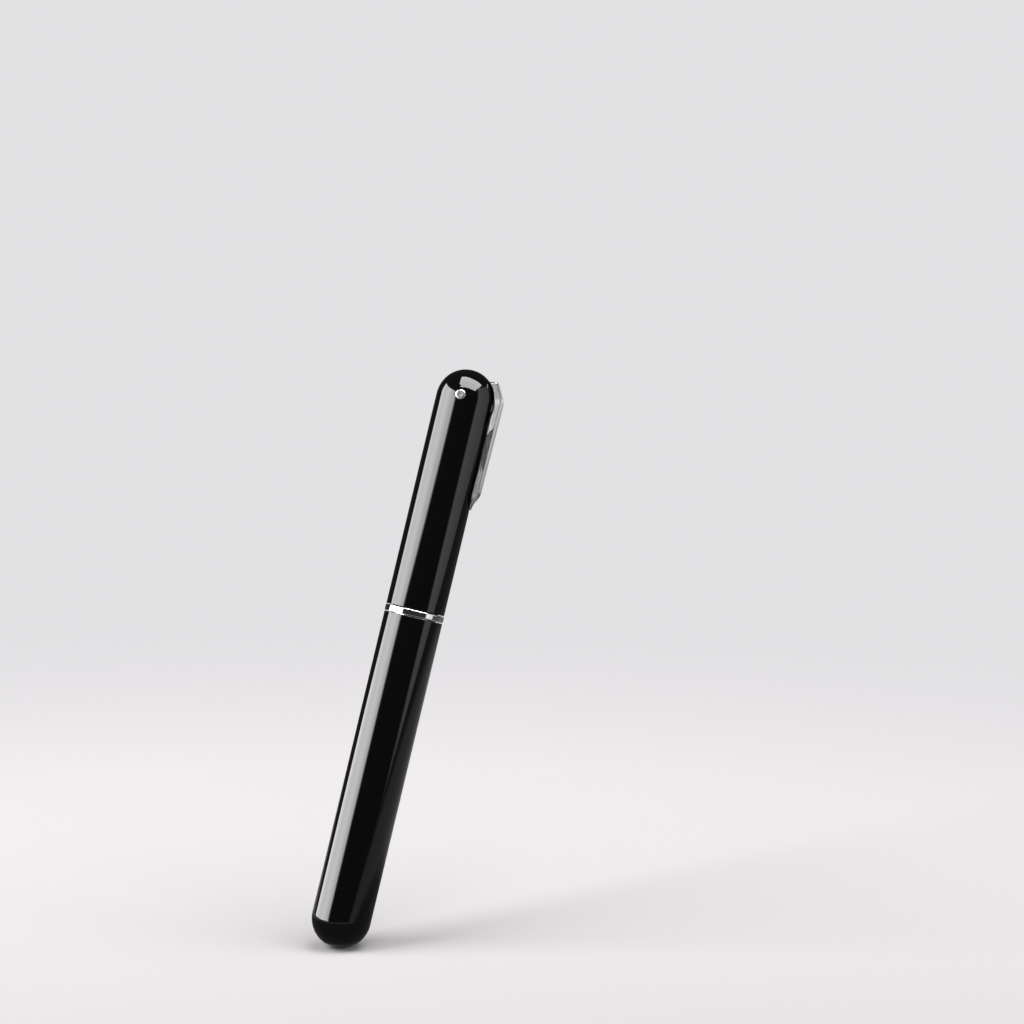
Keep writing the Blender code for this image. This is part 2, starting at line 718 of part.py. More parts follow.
def make_cap_tube():
    """Upper barrel, from its mouth on z = 0 up to its dome, cut for the clip and its pin."""
    outline = [(radius, CAP_LENGTH - height) for radius, height in barrel_outline(CAP_LENGTH)]
    cap = turned("cap_tube", outline, SHELL_SEGMENTS, "black_lacquer")
    pin_height = PIN_HEIGHT - CAP_MOUTH
    cut(cap, slot_tool("cap_tube_slot", 0), (0, 0, pin_height))
    end = BARREL_RADIUS + OVERRUN
    hole = PIN_RADIUS + HOLE_GAP
    spot = PIN_HEAD_RADIUS + PIN_SEAT_GAP
    tool = [
        (0, -end),
        (spot, -end),
        (spot, -PIN_SEAT),
        (hole, -PIN_SEAT),
        (hole, PIN_SEAT),
        (spot, PIN_SEAT),
        (spot, end),
        (0, end),
    ]
    drill = along_y(turned("cap_tube_pin_hole", tool, SMALL_SEGMENTS, "chrome_plate"))
    cut(cap, drill, (0, 0, pin_height))
    return cap


def slot_tool(name, back):
    """Cutter of the slot that the clip's plate swings in, from x = back outwards."""
    front = BARREL_RADIUS + OVERRUN
    outline = [
        (back, -SLOT_BELOW_PIN),
        (front, -SLOT_BELOW_PIN),
        (front, SLOT_ABOVE_PIN),
        (back, SLOT_ABOVE_PIN),
    ]
    return plate(name, outline, SLOT_HALF_WIDTH, "black_nylon")


def make_cap_liner():
    """Plastic sleeve in the cap's mouth, which grips the rubber ring on the neck."""
    outline = [
        (LINER_INNER + LINER_LEAD, 0),
        (LINER_OUTER, 0),
        (LINER_OUTER, LINER_LENGTH),
        (LINER_INNER, LINER_LENGTH),
        (LINER_INNER, LINER_LEAD),
    ]
    return turned("cap_liner", outline, CORE_SEGMENTS, "black_nylon")


def make_clip_block():
    """Block that fills the dome of the cap. The clip's plate, spring and pin sit in it."""
    outline = [(0, 0), (DOME_CORE - EDGE_BREAK, 0), (DOME_CORE, EDGE_BREAK)]
    outline += arc((0, BLOCK_HEIGHT), DOME_CORE, 0, 90, BORE_STEPS)
    block = turned("clip_block", outline, CORE_SEGMENTS, "black_nylon")
    pin = (0, 0, PIN_HEIGHT - BLOCK_BASE)
    cut(block, slot_tool("clip_block_slot", -SLOT_BEHIND_PIN), pin)
    hole = PIN_RADIUS + HOLE_GAP
    end = BARREL_RADIUS
    tool = [(0, -end), (hole, -end), (hole, end), (0, end)]
    drill = along_y(turned("clip_block_pin_hole", tool, SMALL_SEGMENTS, "black_nylon"))
    cut(block, drill, pin)
    top = PIN_HEIGHT - BLOCK_BASE + TAIL_ABOVE_PIN + OVERRUN
    pocket = [
        (0, SPRING_POCKET_FLOOR),
        (SPRING_POCKET_RADIUS, SPRING_POCKET_FLOOR),
        (SPRING_POCKET_RADIUS, top),
        (0, top),
    ]
    drill = turned("clip_block_pocket", pocket, SMALL_SEGMENTS, "black_nylon")
    cut(block, drill, (-SPRING_POCKET_OFFSET, 0, 0))
    return block


def make_clip_pin():
    """Cross pin with a low domed head at each end, laid along Y."""
    dome = [
        (PIN_HEAD_RADIUS * math.cos(turn), PIN_SEAT + PIN_HEAD_HEIGHT * math.sin(turn))
        for turn in (math.radians(90 * step / HEAD_STEPS) for step in range(HEAD_STEPS))
    ]
    upper = [(PIN_RADIUS, PIN_SEAT), *dome, (0, PIN_SEAT + PIN_HEAD_HEIGHT)]
    outline = [(radius, -height) for radius, height in reversed(upper)] + upper
    return along_y(turned("clip_pin", outline, SMALL_SEGMENTS, "chrome_plate"))


def clip_half_width(height):
    """Half width of the clip at a height over the dome's middle. It narrows towards its tip."""
    return CLIP_ROOT_HALF_WIDTH + (CLIP_ROOT_HALF_WIDTH - CLIP_TIP_HALF_WIDTH) * height / CLIP_REACH


def clip_depth(height):
    """Depth of the clip above its nose, at a height over the dome's middle."""
    return CLIP_DEPTH + (CLIP_DEPTH - CLIP_NOSE_DEPTH) * height / (CLIP_REACH - CLIP_NOSE)


def nose_station(share):
    """A station of the nose, where the clip thins to its tip and is round from the front."""
    height = CLIP_NOSE * share - CLIP_REACH
    rise = math.sin(math.radians(90 * share)) ** NOSE_POWER
    depth = CLIP_TIP_THICKNESS + (CLIP_NOSE_DEPTH - CLIP_TIP_THICKNESS) * rise
    width = clip_half_width(height) * quarter_round(share / NOSE_ROUND_SHARE)
    return (CLIP_INNER, height), (CLIP_INNER + depth, height), width


def straight_station(share):
    """A station beside the barrel. The inner line bows away from the barrel a little."""
    height = (CLIP_NOSE - CLIP_REACH) * (1 - share)
    bow = CLIP_BOW * math.sin(math.pi * share)
    ends = [(CLIP_INNER + bow, height), (CLIP_INNER + clip_depth(height), height)]
    return *ends, clip_half_width(height)


def head_station(share):
    """A station of the head. Its inner line runs round the dome and its outer one turns sooner."""
    inner_turn = math.radians(CLIP_HEAD_INNER_ANGLE * share)
    outer_turn = math.radians(CLIP_HEAD_OUTER_ANGLE * share)
    inner = (CLIP_INNER * math.cos(inner_turn), CLIP_INNER * math.sin(inner_turn))
    outer = (
        CLIP_INNER + CLIP_DEPTH - CLIP_HEAD_RADIUS * (1 - math.cos(outer_turn)),
        CLIP_HEAD_RADIUS * math.sin(outer_turn) - CLIP_HEAD_DROP,
    )
    left = (1 - share) * CLIP_HEAD_OUTER_ANGLE / CLIP_HEAD_ROUND_ANGLE
    return inner, outer, CLIP_ROOT_HALF_WIDTH * quarter_round(HEAD_ROUND_SHARE + left)


def clip_section(start, end, half_width):
    """Eight points round the clip at one station. Its flanks lean in and its edges are eased."""
    start, end = Vector(start), Vector(end)
    depth = (end - start).length
    out = (end - start) / depth
    edge = min(CLIP_EDGE, depth / 2, half_width / 2)
    eased = edge * (1 - math.sqrt(0.5))
    half = [
        (start, half_width - CLIP_LEAN_SHARE * depth),
        (end - out * edge, half_width),
        (end - out * eased, half_width - eased),
        (end, half_width - edge),
    ]
    near = [(point.x, -width, point.y) for point, width in half]
    far = [(point.x, width, point.y) for point, width in reversed(half)]
    return near + far


def clip_hollow():
    """Cutter of the hollow behind the clip, which leaves a wall round it."""
    back = CLIP_INNER - OVERRUN
    rings = []
    for height in (CLIP_NOSE + CLIP_HOLLOW_ABOVE_NOSE - CLIP_REACH, -CLIP_HOLLOW_BELOW_DOME):
        depth = clip_depth(height)
        front = CLIP_INNER + depth - CLIP_WALL
        wide = clip_half_width(height) - CLIP_WALL
        narrow = wide - CLIP_LEAN_SHARE * depth
        corners = [(back, -narrow), (front, -wide), (front, wide), (back, narrow)]
        rings.append([(x, y, height) for x, y in corners])
    return lofted("clip_hollow", rings, "chrome_plate")


def make_clip():
    """Tapered strap, hollow behind, with a plate to its pin. z = 0 is the dome's middle."""
    stations = [nose_station(share) for share in NOSE_SHARES]
    stations += [straight_station(share) for share in STRAIGHT_SHARES]
    stations += [head_station(share) for share in HEAD_SHARES]
    clip = lofted("clip", [clip_section(*station) for station in stations], "chrome_plate")
    cut(clip, clip_hollow())
    cut(clip, clip_web(), (0, 0, PIN_RISE), "UNION")
    hole = PIN_RADIUS + SLIDE_GAP
    end = WEB_HALF_THICKNESS + OVERRUN
    tool = [(0, -end), (hole, -end), (hole, end), (0, end)]
    drill = along_y(turned("clip_eye", tool, SMALL_SEGMENTS, "chrome_plate"))
    cut(clip, drill, (0, 0, PIN_RISE))
    return clip


def clip_web():
    """Plate from the clip in to its pin, where it widens to an eye, and on to a short tail."""
    root = CLIP_INNER + WEB_OVERLAP
    eye_low = math.degrees(math.asin(TAIL_BELOW_PIN / EYE_RADIUS))
    eye_high = math.degrees(math.asin(TAIL_ABOVE_PIN / EYE_RADIUS))
    outline = [(root, -WEB_ROOT_BELOW_PIN), (root, WEB_ROOT_ABOVE_PIN)]
    outline += arc((0, 0), EYE_RADIUS, EYE_ROOT_ANGLE, 180 - eye_high, EYE_STEPS)
    outline += [
        (EDGE_BREAK - TAIL_LENGTH, TAIL_ABOVE_PIN),
        (-TAIL_LENGTH, TAIL_ABOVE_PIN - EDGE_BREAK),
        (-TAIL_LENGTH, EDGE_BREAK - TAIL_BELOW_PIN),
        (EDGE_BREAK - TAIL_LENGTH, -TAIL_BELOW_PIN),
    ]
    outline += arc((0, 0), EYE_RADIUS, 180 + eye_low, 360 - EYE_ROOT_ANGLE, EYE_STEPS)
    return plate("clip_web", outline, WEB_HALF_THICKNESS, "chrome_plate")


def whole_place(thing):
    """Where the origin of thing lies on the whole pen. No parent is turned, so places add up."""
    return thing.location + (whole_place(thing.parent) if thing.parent else Vector())


def seat(thing, place, parent):
    """Puts thing at place, a point of the whole pen, under parent."""
    thing.parent = parent
    thing.location = Vector(place) - whole_place(parent)


def joint(name, place, parent=None):
    """An empty on the axis of one moving body."""
    empty = bpy.data.objects.new(name, None)
    bpy.context.scene.collection.objects.link(empty)
    if parent:
        seat(empty, place, parent)
    return empty


def on_axis(piece, height, body):
    """Seats a piece on the pen's axis at a height of the whole pen."""
    seat(piece, (0, 0, height), body)


def assemble_handle(handle):
    """The handle with the piston, which stands still in the pump tube."""
    on_axis(make_handle_tube(), 0, handle)
    on_axis(make_guide_bush(), HANDLE_LENGTH - BUSH_DEPTH - BUSH_LENGTH, handle)
    on_axis(make_rod_anchor(), ANCHOR_BASE, handle)
    on_axis(make_rod_lock_nut(), ANCHOR_TOP, handle)
    on_axis(make_piston_rod(), ROD_BASE, handle)
    on_axis(make_piston(), PISTON_BASE, handle)
    ring = rubber_ring("piston_ring", CYLINDER_BORE, PISTON_RING_SECTION)
    on_axis(ring, PISTON_BASE + PISTON_HEIGHT / 2, handle)
    on_axis(make_piston_screw(), PISTON_TOP - SCREW_HEAD_RECESS, handle)


def assemble_pump(pump):
    """The tube that the handle slides on, with its head, needle and valve spring."""
    on_axis(make_rod_gland(), GLAND_BASE, pump)
    on_axis(make_pump_cylinder(), CYLINDER_BASE, pump)
    on_axis(make_needle_hub(), HUB_BASE, pump)
    seal = rubber_ring("hub_seal", CYLINDER_BORE, HUB_SEAL_SECTION)
    on_axis(seal, HUB_BASE + HUB_SEAL_RISE, pump)
    on_axis(make_trim_ring(), RING_BASE, pump)
    ring = rubber_ring("neck_ring", LINER_INNER, NECK_RING_SECTION)
    on_axis(ring, RING_TOP + NECK_RING_RISE, pump)
    on_axis(make_needle_gasket(), RECESS_FLOOR, pump)
    on_axis(make_needle_ferrule(), FERRULE_BASE, pump)
    on_axis(make_needle(), NEEDLE_BASE, pump)
    reach = BALL_RADIUS + BALL_GAP + VALVE_WIRE_RADIUS
    rise = math.sqrt(reach**2 - VALVE_COIL_RADIUS**2) - VALVE_WIRE_RADIUS
    length = FERRULE_BASE - BALL_HEIGHT - rise - BALL_GAP
    coil = spring(
        "valve_spring",
        VALVE_COIL_RADIUS,
        VALVE_WIRE_RADIUS,
        length,
        VALVE_TURNS,
        "spring_steel",
    )
    on_axis(coil, BALL_HEIGHT + rise, pump)


def assemble_cap(cap):
    """The cap with its liner, and the block, pin and spring of its clip."""
    on_axis(make_cap_tube(), CAP_MOUTH, cap)
    on_axis(make_cap_liner(), CAP_MOUTH + LINER_DEPTH, cap)
    on_axis(make_clip_block(), BLOCK_BASE, cap)
    on_axis(make_clip_pin(), PIN_HEIGHT, cap)
    floor = BLOCK_BASE + SPRING_POCKET_FLOOR + SPRING_SEAT_GAP
    length = PIN_HEIGHT - TAIL_BELOW_PIN - SPRING_SEAT_GAP - floor
    coil = spring(
        "clip_spring",
        CLIP_COIL_RADIUS,
        CLIP_WIRE_RADIUS,
        length,
        CLIP_SPRING_TURNS,
        "spring_steel",
    )
    seat(coil, (-SPRING_POCKET_OFFSET, 0, floor), cap)


def main():
    for old in list(bpy.data.objects):
        bpy.data.objects.remove(old)
    handle = joint("handle_body", (0, 0, 0))
    pump = joint("pump_slide", (0, 0, HANDLE_LENGTH), handle)
    valve = joint("valve_lift", (0, 0, BALL_HEIGHT), pump)
    cap = joint("cap_slide", (0, 0, CAP_MOUTH), pump)
    hinge = joint("clip_hinge", (0, 0, PIN_HEIGHT), cap)
    assemble_handle(handle)
    assemble_pump(pump)
    on_axis(make_valve_ball(), BALL_HEIGHT, valve)
    assemble_cap(cap)
    on_axis(make_clip(), DOME_CENTRE, hinge)


main()
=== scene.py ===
"""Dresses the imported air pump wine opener: fine surfaces, finishes, a pale stage and a camera.

The frame is the pen itself: its axis is Z, its foot is at the origin, its clip is at +X. Every
piece is a surface worked out with numpy from the boxes of the frame and the sizes below.
"""

import math

import bmesh
import bpy
import numpy as np
from bpy.props import FloatProperty, FloatVectorProperty, IntProperty, PointerProperty
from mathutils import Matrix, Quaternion, Vector


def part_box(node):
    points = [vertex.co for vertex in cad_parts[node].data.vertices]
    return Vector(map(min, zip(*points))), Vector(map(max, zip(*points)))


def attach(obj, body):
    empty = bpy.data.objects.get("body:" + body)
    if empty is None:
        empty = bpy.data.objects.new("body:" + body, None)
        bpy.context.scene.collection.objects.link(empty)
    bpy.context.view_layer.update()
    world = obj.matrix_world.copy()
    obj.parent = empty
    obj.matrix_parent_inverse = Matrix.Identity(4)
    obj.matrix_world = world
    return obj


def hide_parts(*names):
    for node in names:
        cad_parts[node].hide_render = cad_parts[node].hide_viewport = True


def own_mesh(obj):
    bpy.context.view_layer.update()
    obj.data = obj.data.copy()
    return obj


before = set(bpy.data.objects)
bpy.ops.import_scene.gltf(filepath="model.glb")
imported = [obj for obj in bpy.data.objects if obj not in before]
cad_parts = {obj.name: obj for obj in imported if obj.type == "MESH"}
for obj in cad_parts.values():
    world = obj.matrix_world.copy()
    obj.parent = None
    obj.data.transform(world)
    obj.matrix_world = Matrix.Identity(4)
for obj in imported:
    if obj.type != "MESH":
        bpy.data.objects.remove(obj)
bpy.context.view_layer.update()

bl_info = {
    "name": "Air Pump Wine Opener",
    "version": (1, 0, 0),
    "blender": (4, 5, 0),
    "location": "3D View > Sidebar > Wine Opener",
    "description": "Builds the fine surfaces and finishes of an air pump wine opener",
    "category": "Mesh",
}

MM = 0.001
TAU = 2 * math.pi
WELD = 1e-7


def linear(code):
    """Linear red, green and blue of an sRGB hex colour."""
    parts = [int(code[start : start + 2], 16) / 255 for start in (1, 3, 5)]
    return tuple(p / 12.92 if p <= 0.04045 else ((p + 0.055) / 1.055) ** 2.4 for p in parts)


def length(name, default, description):
    """A property that holds a length."""
    return FloatProperty(
        name=name, description=description, default=default, unit="LENGTH", precision=5
    )


def angle(name, degrees, description):
    """A property that holds an angle."""
    return FloatProperty(
        name=name, description=description, default=math.radians(degrees), subtype="ANGLE"
    )


def colour(name, code, description):
    """A property that holds a colour."""
    return FloatVectorProperty(
        name=name, description=description, default=linear(code), subtype="COLOR", min=0, max=1
    )


class PenSizes(bpy.types.PropertyGroup):
    """Sizes that the boxes of the frame don't give."""

    barrel_wall: length("Barrel wall", 0.9 * MM, "Wall of both black barrels")
    edge: length("Edge", 0.2 * MM, "Rounding of plain edges")
    fine_edge: length("Fine edge", 0.08 * MM, "Rounding of crisp edges")
    ring_wall: length("Ring wall", 0.6 * MM, "Wall of the bright ring")
    ring_edge: length("Ring edge", 0.35 * MM, "Rounding of the bright ring")
    bush_wall: length("Bush wall", 1.2 * MM, "Wall of the guide bush")
    tube_wall: length("Tube wall", 1.0 * MM, "Wall of the pump tube")
    liner_wall: length("Liner wall", 0.8 * MM, "Wall of the cap's liner")
    lead: length("Lead", 0.4 * MM, "Lead of bores that something slides into")
    rod_radius: length("Rod radius", 2.0 * MM, "Radius of the piston rod")
    rod_pitch: length("Rod pitch", 0.7 * MM, "Pitch of the rod's thread")
    rod_thread: length("Rod thread", 2.0 * MM, "How far the rod's thread shows over its nut")
    rod_flange: length("Rod flange", 1.2 * MM, "Height of the rod's flange")
    nut_flats: length("Nut flats", 7.0 * MM, "Width of the rod's nut over its flats")
    screw_radius: length("Screw radius", 1.2 * MM, "Radius of the piston's screw")
    screw_pitch: length("Screw pitch", 0.45 * MM, "Pitch of the piston's screw")
    screw_neck: length("Screw neck", 3.0 * MM, "Plain length under the screw's head")
    screw_head: length("Screw head", 1.6 * MM, "Height of the screw's head")
    screw_recess: length("Screw recess", 1.8 * MM, "Depth of the recess for the screw's head")
    socket_flats: length("Socket flats", 2.0 * MM, "Width of the screw's socket over its flats")
    socket_depth: length("Socket depth", 0.9 * MM, "Depth of the screw's socket")
    air_radius: length("Air hole radius", 0.8 * MM, "Radius of the gland's air holes")
    air_circle: length("Air hole circle", 4.4 * MM, "Radius of the circle of the air holes")
    fit: length("Fit", 0.1 * MM, "Gap round a piece in its hole")
    slide: length("Slide", 0.15 * MM, "Gap of a sliding fit")
    hub_collar: length("Hub collar", 2.4 * MM, "Height of the hub under its flange")
    neck_radius: length("Neck radius", 7.85 * MM, "Radius of the neck that the cap slides on")
    recess_radius: length("Recess radius", 5.6 * MM, "Radius of the recess in the neck")
    recess_depth: length("Recess depth", 3.4 * MM, "Depth of the recess in the neck")
    valve_room: length("Valve room", 2.3 * MM, "Radius of the room of the valve's ball")
    valve_hole: length("Valve hole", 1.0 * MM, "Radius of the hole under the valve's ball")
    ferrule_radius: length("Ferrule radius", 3.0 * MM, "Radius of the ferrule's thread")
    ferrule_pitch: length("Ferrule pitch", 0.75 * MM, "Pitch of the ferrule's thread")
    ferrule_flats: length("Ferrule flats", 9.0 * MM, "Width of the ferrule over its flats")
    ferrule_head: length("Ferrule head", 2.4 * MM, "Height of the ferrule's hexagon")
    needle_bore: length("Needle bore", 0.7 * MM, "Radius of the needle's bore")
    needle_point: length("Needle point", 6.0 * MM, "Length of the needle's point")
    port_radius: length("Port radius", 0.4 * MM, "Radius of the air port in the needle")
    port_drop: length("Port drop", 8.9 * MM, "How far the port lies under the needle's tip")
    pin_radius: length("Pin radius", 1.0 * MM, "Radius of the cross pin")
    pin_head_radius: length("Pin head radius", 1.75 * MM, "Radius of the cross pin's heads")
    pin_head_height: length("Pin head height", 0.65 * MM, "Height of the cross pin's heads")
    pin_dip: length("Pin dip", 0.05 * MM, "Depth of the dimple in a pin head")
    pin_height: length("Pin height", 190.6 * MM, "Height of the cross pin on the pen")
    spot_radius: length("Spot radius", 2.05 * MM, "Radius of the round seat of a pin head")
    slot_half: length("Slot half width", 1.3 * MM, "Half width of the clip's slot")
    slot_below: length("Slot below", 4.2 * MM, "How far the slot reaches below the pin")
    slot_above: length("Slot above", 5.6 * MM, "How far the slot reaches above the pin")
    slot_behind: length("Slot behind", 7.3 * MM, "How far the slot reaches behind the pin")
    clip_gap: length("Clip gap", 0.3 * MM, "Gap between the clip and the barrel")
    clip_depth: length("Clip depth", 2.45 * MM, "Depth of the clip at its root")
    clip_nose_depth: length("Clip nose depth", 2.05 * MM, "Depth of the clip where its nose begins")
    clip_lip: length("Clip lip", 0.3 * MM, "Thickness of the clip at its tip")
    clip_root: length("Clip root", 3.0 * MM, "Half width of the clip at its root")
    clip_tip: length("Clip tip", 2.4 * MM, "Half width of the clip at its nose")
    clip_nose: length("Clip nose", 6.2 * MM, "Length of the clip's nose")
    clip_rise: length("Clip rise", 1.3 * MM, "How far the clip's outer line rises over the dome's middle")
    clip_bend: length("Clip bend", 3.0 * MM, "Radius of the bend in the clip's outer line")
    clip_slope: length("Clip slope", 5.6 * MM, "Length of the clip's slanting outer line at its head")
    clip_slant: angle("Clip slant", 29, "Slant of the clip's outer line at its head")
    clip_bow: length("Clip bow", 0.3 * MM, "How far the clip bows off the barrel")
    clip_notch: length("Clip notch", 0.55 * MM, "How far the clip's inner line steps out over the flute")
    clip_step: length("Clip step", 3.0 * MM, "Length in which the clip's inner line steps out")
    clip_wall: length("Clip wall", 0.7 * MM, "Wall round the hollow behind the clip")
    clip_edge: length("Clip edge", 0.22 * MM, "Rounding of the clip's outer edges")
    flute_low: length("Flute start", 14.8 * MM, "Height of the flute over the clip's tip")
    flute_high: length("Flute end", 27.7 * MM, "Height of the flute's upper end")
    flute_slant: length("Flute slant", 3.2 * MM, "Slant of the flute's ends")
    flute_end: length("Flute fade", 0.5 * MM, "Length in which the flute begins and ends")
    web_half: length("Web half", 1.0 * MM, "Half thickness of the clip's plate")
    wire: length("Wire", 0.2 * MM, "Radius of the springs' wire")


class PenColours(bpy.types.PropertyGroup):
    """Colours of the finishes."""

    lacquer: colour("Lacquer", "#070708", "Gloss black lacquer")
    chrome: colour("Chrome", "#D7D8D9", "Polished chrome plate")
    steel: colour("Steel", "#B9B9B6", "Ground stainless steel")
    wire: colour("Wire", "#8E8D8A", "Drawn spring wire")
    aluminium: colour("Aluminium", "#D2D3D4", "Turned aluminium")
    brass: colour("Brass", "#D2B26A", "Turned brass")
    nylon: colour("Nylon", "#1B1B1D", "Moulded black nylon")
    acetal: colour("Acetal", "#E4E2DA", "Turned white acetal")
    rubber: colour("Rubber", "#17171A", "Moulded nitrile rubber")
    floor: colour("Floor", "#C9C6C8", "Pale floor")
    backdrop: colour("Backdrop", "#E2E1E3", "Pale backdrop")


class PenStage(bpy.types.PropertyGroup):
    """Places of the camera, the floor and the lights."""

    camera_azimuth: angle("Camera azimuth", 11.697, "Turn of the camera round the pen")
    camera_distance: length("Camera distance", 1.41805, "Distance of the camera from the axis")
    camera_height: length("Camera height", 113.8 * MM, "Height of the camera on the pen")
    camera_roll: angle("Camera roll", 13.41, "Roll that makes the pen lean in the picture")
    camera_lens: FloatProperty(name="Lens", description="Focal length", default=147.66, unit="CAMERA")
    aim_right: length("Aim right", 24.13 * MM, "How far the camera aims right of the axis")
    aim_height: length("Aim height", 156.45 * MM, "Height on the pen that the camera aims at")
    floor_tilt: angle("Floor tilt", 17.45, "How far the pen leans over the floor")
    floor_turn: angle("Floor turn", -129.0, "Way in which the floor falls")
    floor_reach: length("Floor reach", 0.62, "How far the floor reaches before it has faded")
    card_distance: length("Card distance", 0.6, "Distance of the reflected cards")


def sizes():
    return bpy.context.scene.pen_sizes


def span(node):
    """Radius and lower and upper end of a round CAD node that stands on the axis."""
    low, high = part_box(node)
    return high.x, low.z, high.z


def arc(centre, radius, start, end, steps):
    """Points on a circle: the centre plus radius times cosine and sine, in equal turns."""
    turn = np.radians(np.linspace(start, end, steps + 1))
    return np.column_stack((centre[0] + radius * np.cos(turn), centre[1] + radius * np.sin(turn)))


def rounded(corners, steps=5):
    """Closed outline of (radius, height, rounding) corners.

    Each corner becomes an arc that touches both of its sides. The arc's centre lies on the
    corner's bisector, rounding / sin(half the corner) from it, and its points are blended on the
    circle between the two tangent points.
    """
    corners = np.array(corners, float)
    place, fillet = corners[:, :2], corners[:, 2:]
    back = np.roll(place, 1, 0) - place
    ahead = np.roll(place, -1, 0) - place
    back /= np.linalg.norm(back, axis=1, keepdims=True)
    ahead /= np.linalg.norm(ahead, axis=1, keepdims=True)
    half = np.arccos(np.clip((back * ahead).sum(1, keepdims=True), -1, 1)) / 2
    bisector = back + ahead
    bisector /= np.maximum(np.linalg.norm(bisector, axis=1, keepdims=True), WELD)
    centre = place + bisector * fillet / np.sin(half)
    first = place + back * fillet / np.tan(half) - centre
    last = place + ahead * fillet / np.tan(half) - centre
    opening = np.maximum(math.pi - 2 * half, WELD)[:, None]
    share = np.linspace(0, 1, steps + 1)[None, :, None]
    blend = np.sin((1 - share) * opening) * first[:, None] + np.sin(share * opening) * last[:, None]
    points = (centre[:, None] + blend / np.sin(opening)).reshape(-1, 2)
    apart = np.linalg.norm(points - np.roll(points, 1, 0), axis=1)
    return points[apart > WELD]


def in_scene(name, mesh):
    piece = bpy.data.objects.new(name, mesh)
    bpy.context.scene.collection.objects.link(piece)
    return piece


def grid_piece(name, points, around=True, along=False):
    """Object of an (across, along, 3) array of points, with a quad between each four neighbours.

    It closes round its first index where around is set, and round its second where along is.
    """
    rows, columns = points.shape[:2]
    index = np.arange(rows * columns).reshape(rows, columns)
    right = np.roll(index, -1, 0) if around else index[1:]
    index = index if around else index[:-1]
    if along:
        quads = np.stack((index, np.roll(index, -1, 1), np.roll(right, -1, 1), right), -1)
    else:
        quads = np.stack((index[:, :-1], index[:, 1:], right[:, 1:], right[:, :-1]), -1)
    mesh = bpy.data.meshes.new(name)
    mesh.from_pydata(points.reshape(-1, 3).tolist(), [], quads.reshape(-1, 4).tolist())
    return in_scene(name, mesh)


def closed(piece, sharp=30):
    """Welds the doubles of a piece, turns its faces out and keeps only its real edges sharp."""
    mesh = bmesh.new()
    mesh.from_mesh(piece.data)
    bmesh.ops.remove_doubles(mesh, verts=mesh.verts, dist=WELD)
    bmesh.ops.dissolve_degenerate(mesh, edges=mesh.edges, dist=WELD)
    bmesh.ops.recalc_face_normals(mesh, faces=mesh.faces)
    mesh.to_mesh(piece.data)
    mesh.free()
    piece.data.shade_smooth()
    piece.data.set_sharp_from_angle(angle=math.radians(sharp))
    return piece


def braced(outline, margin=0.06 * MM):
    """The outline with two more points near the ends of each long side.

    They keep the smooth shading of a rounded edge from spreading over the flat beside it. A side
    that lies on the axis gets none.
    """
    ahead = np.roll(outline, -1, 0) - outline
    size = np.linalg.norm(ahead, axis=1, keepdims=True)
    off_axis = outline[:, :1] + np.roll(outline, -1, 0)[:, :1] > WELD
    step = np.where((size > 4 * margin) & off_axis, margin / np.maximum(size, WELD), 0)
    points = np.stack((outline, outline + ahead * step, outline + ahead * (1 - step)), 1)
    keep = np.column_stack((np.ones(len(outline), bool), step[:, 0] > 0, step[:, 0] > 0))
    return points.reshape(-1, 2)[keep.ravel()]


def revolved(name, outline, segments=192, thread=None):
    """Surface of revolution: (radius cos t, radius sin t, height) for the outline's points.

    A thread is given as the radius of its shaft, its low and high end and its pitch. It takes
    from the radius its depth times half of 1 less the cosine of (height over pitch less turn),
    and fades out over one pitch at both ends.
    """
    outline = braced(np.array(outline, float))
    turn = np.linspace(0, TAU, segments, endpoint=False)[:, None]
    depth = 0 * turn
    if thread:
        shaft, low, high, pitch = thread
        rows = np.linspace(low, high, math.ceil((high - low) / pitch * THREAD_ROWS) + 1)
        side = np.abs(outline[:, 0] - shaft) < WELD
        under = side & (outline[:, 1] < low + WELD)
        over = outline[side & (outline[:, 1] > high + WELD)]
        start, end = np.flatnonzero(under)[-1] + 1, np.flatnonzero(side)[-1] + 1
        rows = np.column_stack((np.full(len(rows), shaft), rows))
        outline = np.vstack((outline[:start], rows, over, outline[end:]))
        height = outline[None, :, 1]
        fade = np.clip(np.minimum(height - low, high - height) / pitch, 0, 1)
        depth = THREAD_DEPTH_SHARE * pitch * fade * (1 - np.cos(TAU * height / pitch - turn)) / 2
    radius, height = outline[None, :, 0] - depth, outline[None, :, 1] + 0 * turn
    points = np.stack((radius * np.cos(turn), radius * np.sin(turn), height), -1)
    solid = max(outline[0, 0], outline[-1, 0]) < WELD
    return closed(grid_piece(name, points, along=not solid))


# Rows of points for each turn of a thread, and its depth as a share of its pitch
THREAD_ROWS = 14
THREAD_DEPTH_SHARE = 0.5


def cut(piece, tool, operation="DIFFERENCE"):
    """Takes tool away from piece, or unites them, and keeps only the result."""
    modifier = piece.modifiers.new("cut", "BOOLEAN")
    modifier.solver = "EXACT"
    modifier.operation = operation
    modifier.object = tool
    graph = bpy.context.evaluated_depsgraph_get()
    result = bpy.data.meshes.new_from_object(piece.evaluated_get(graph))
    piece.modifiers.clear()
    old, piece.data = piece.data, result
    result.name = piece.name
    bpy.data.meshes.remove(old)
    old = tool.data
    bpy.data.objects.remove(tool)
    bpy.data.meshes.remove(old)
    return closed(piece)


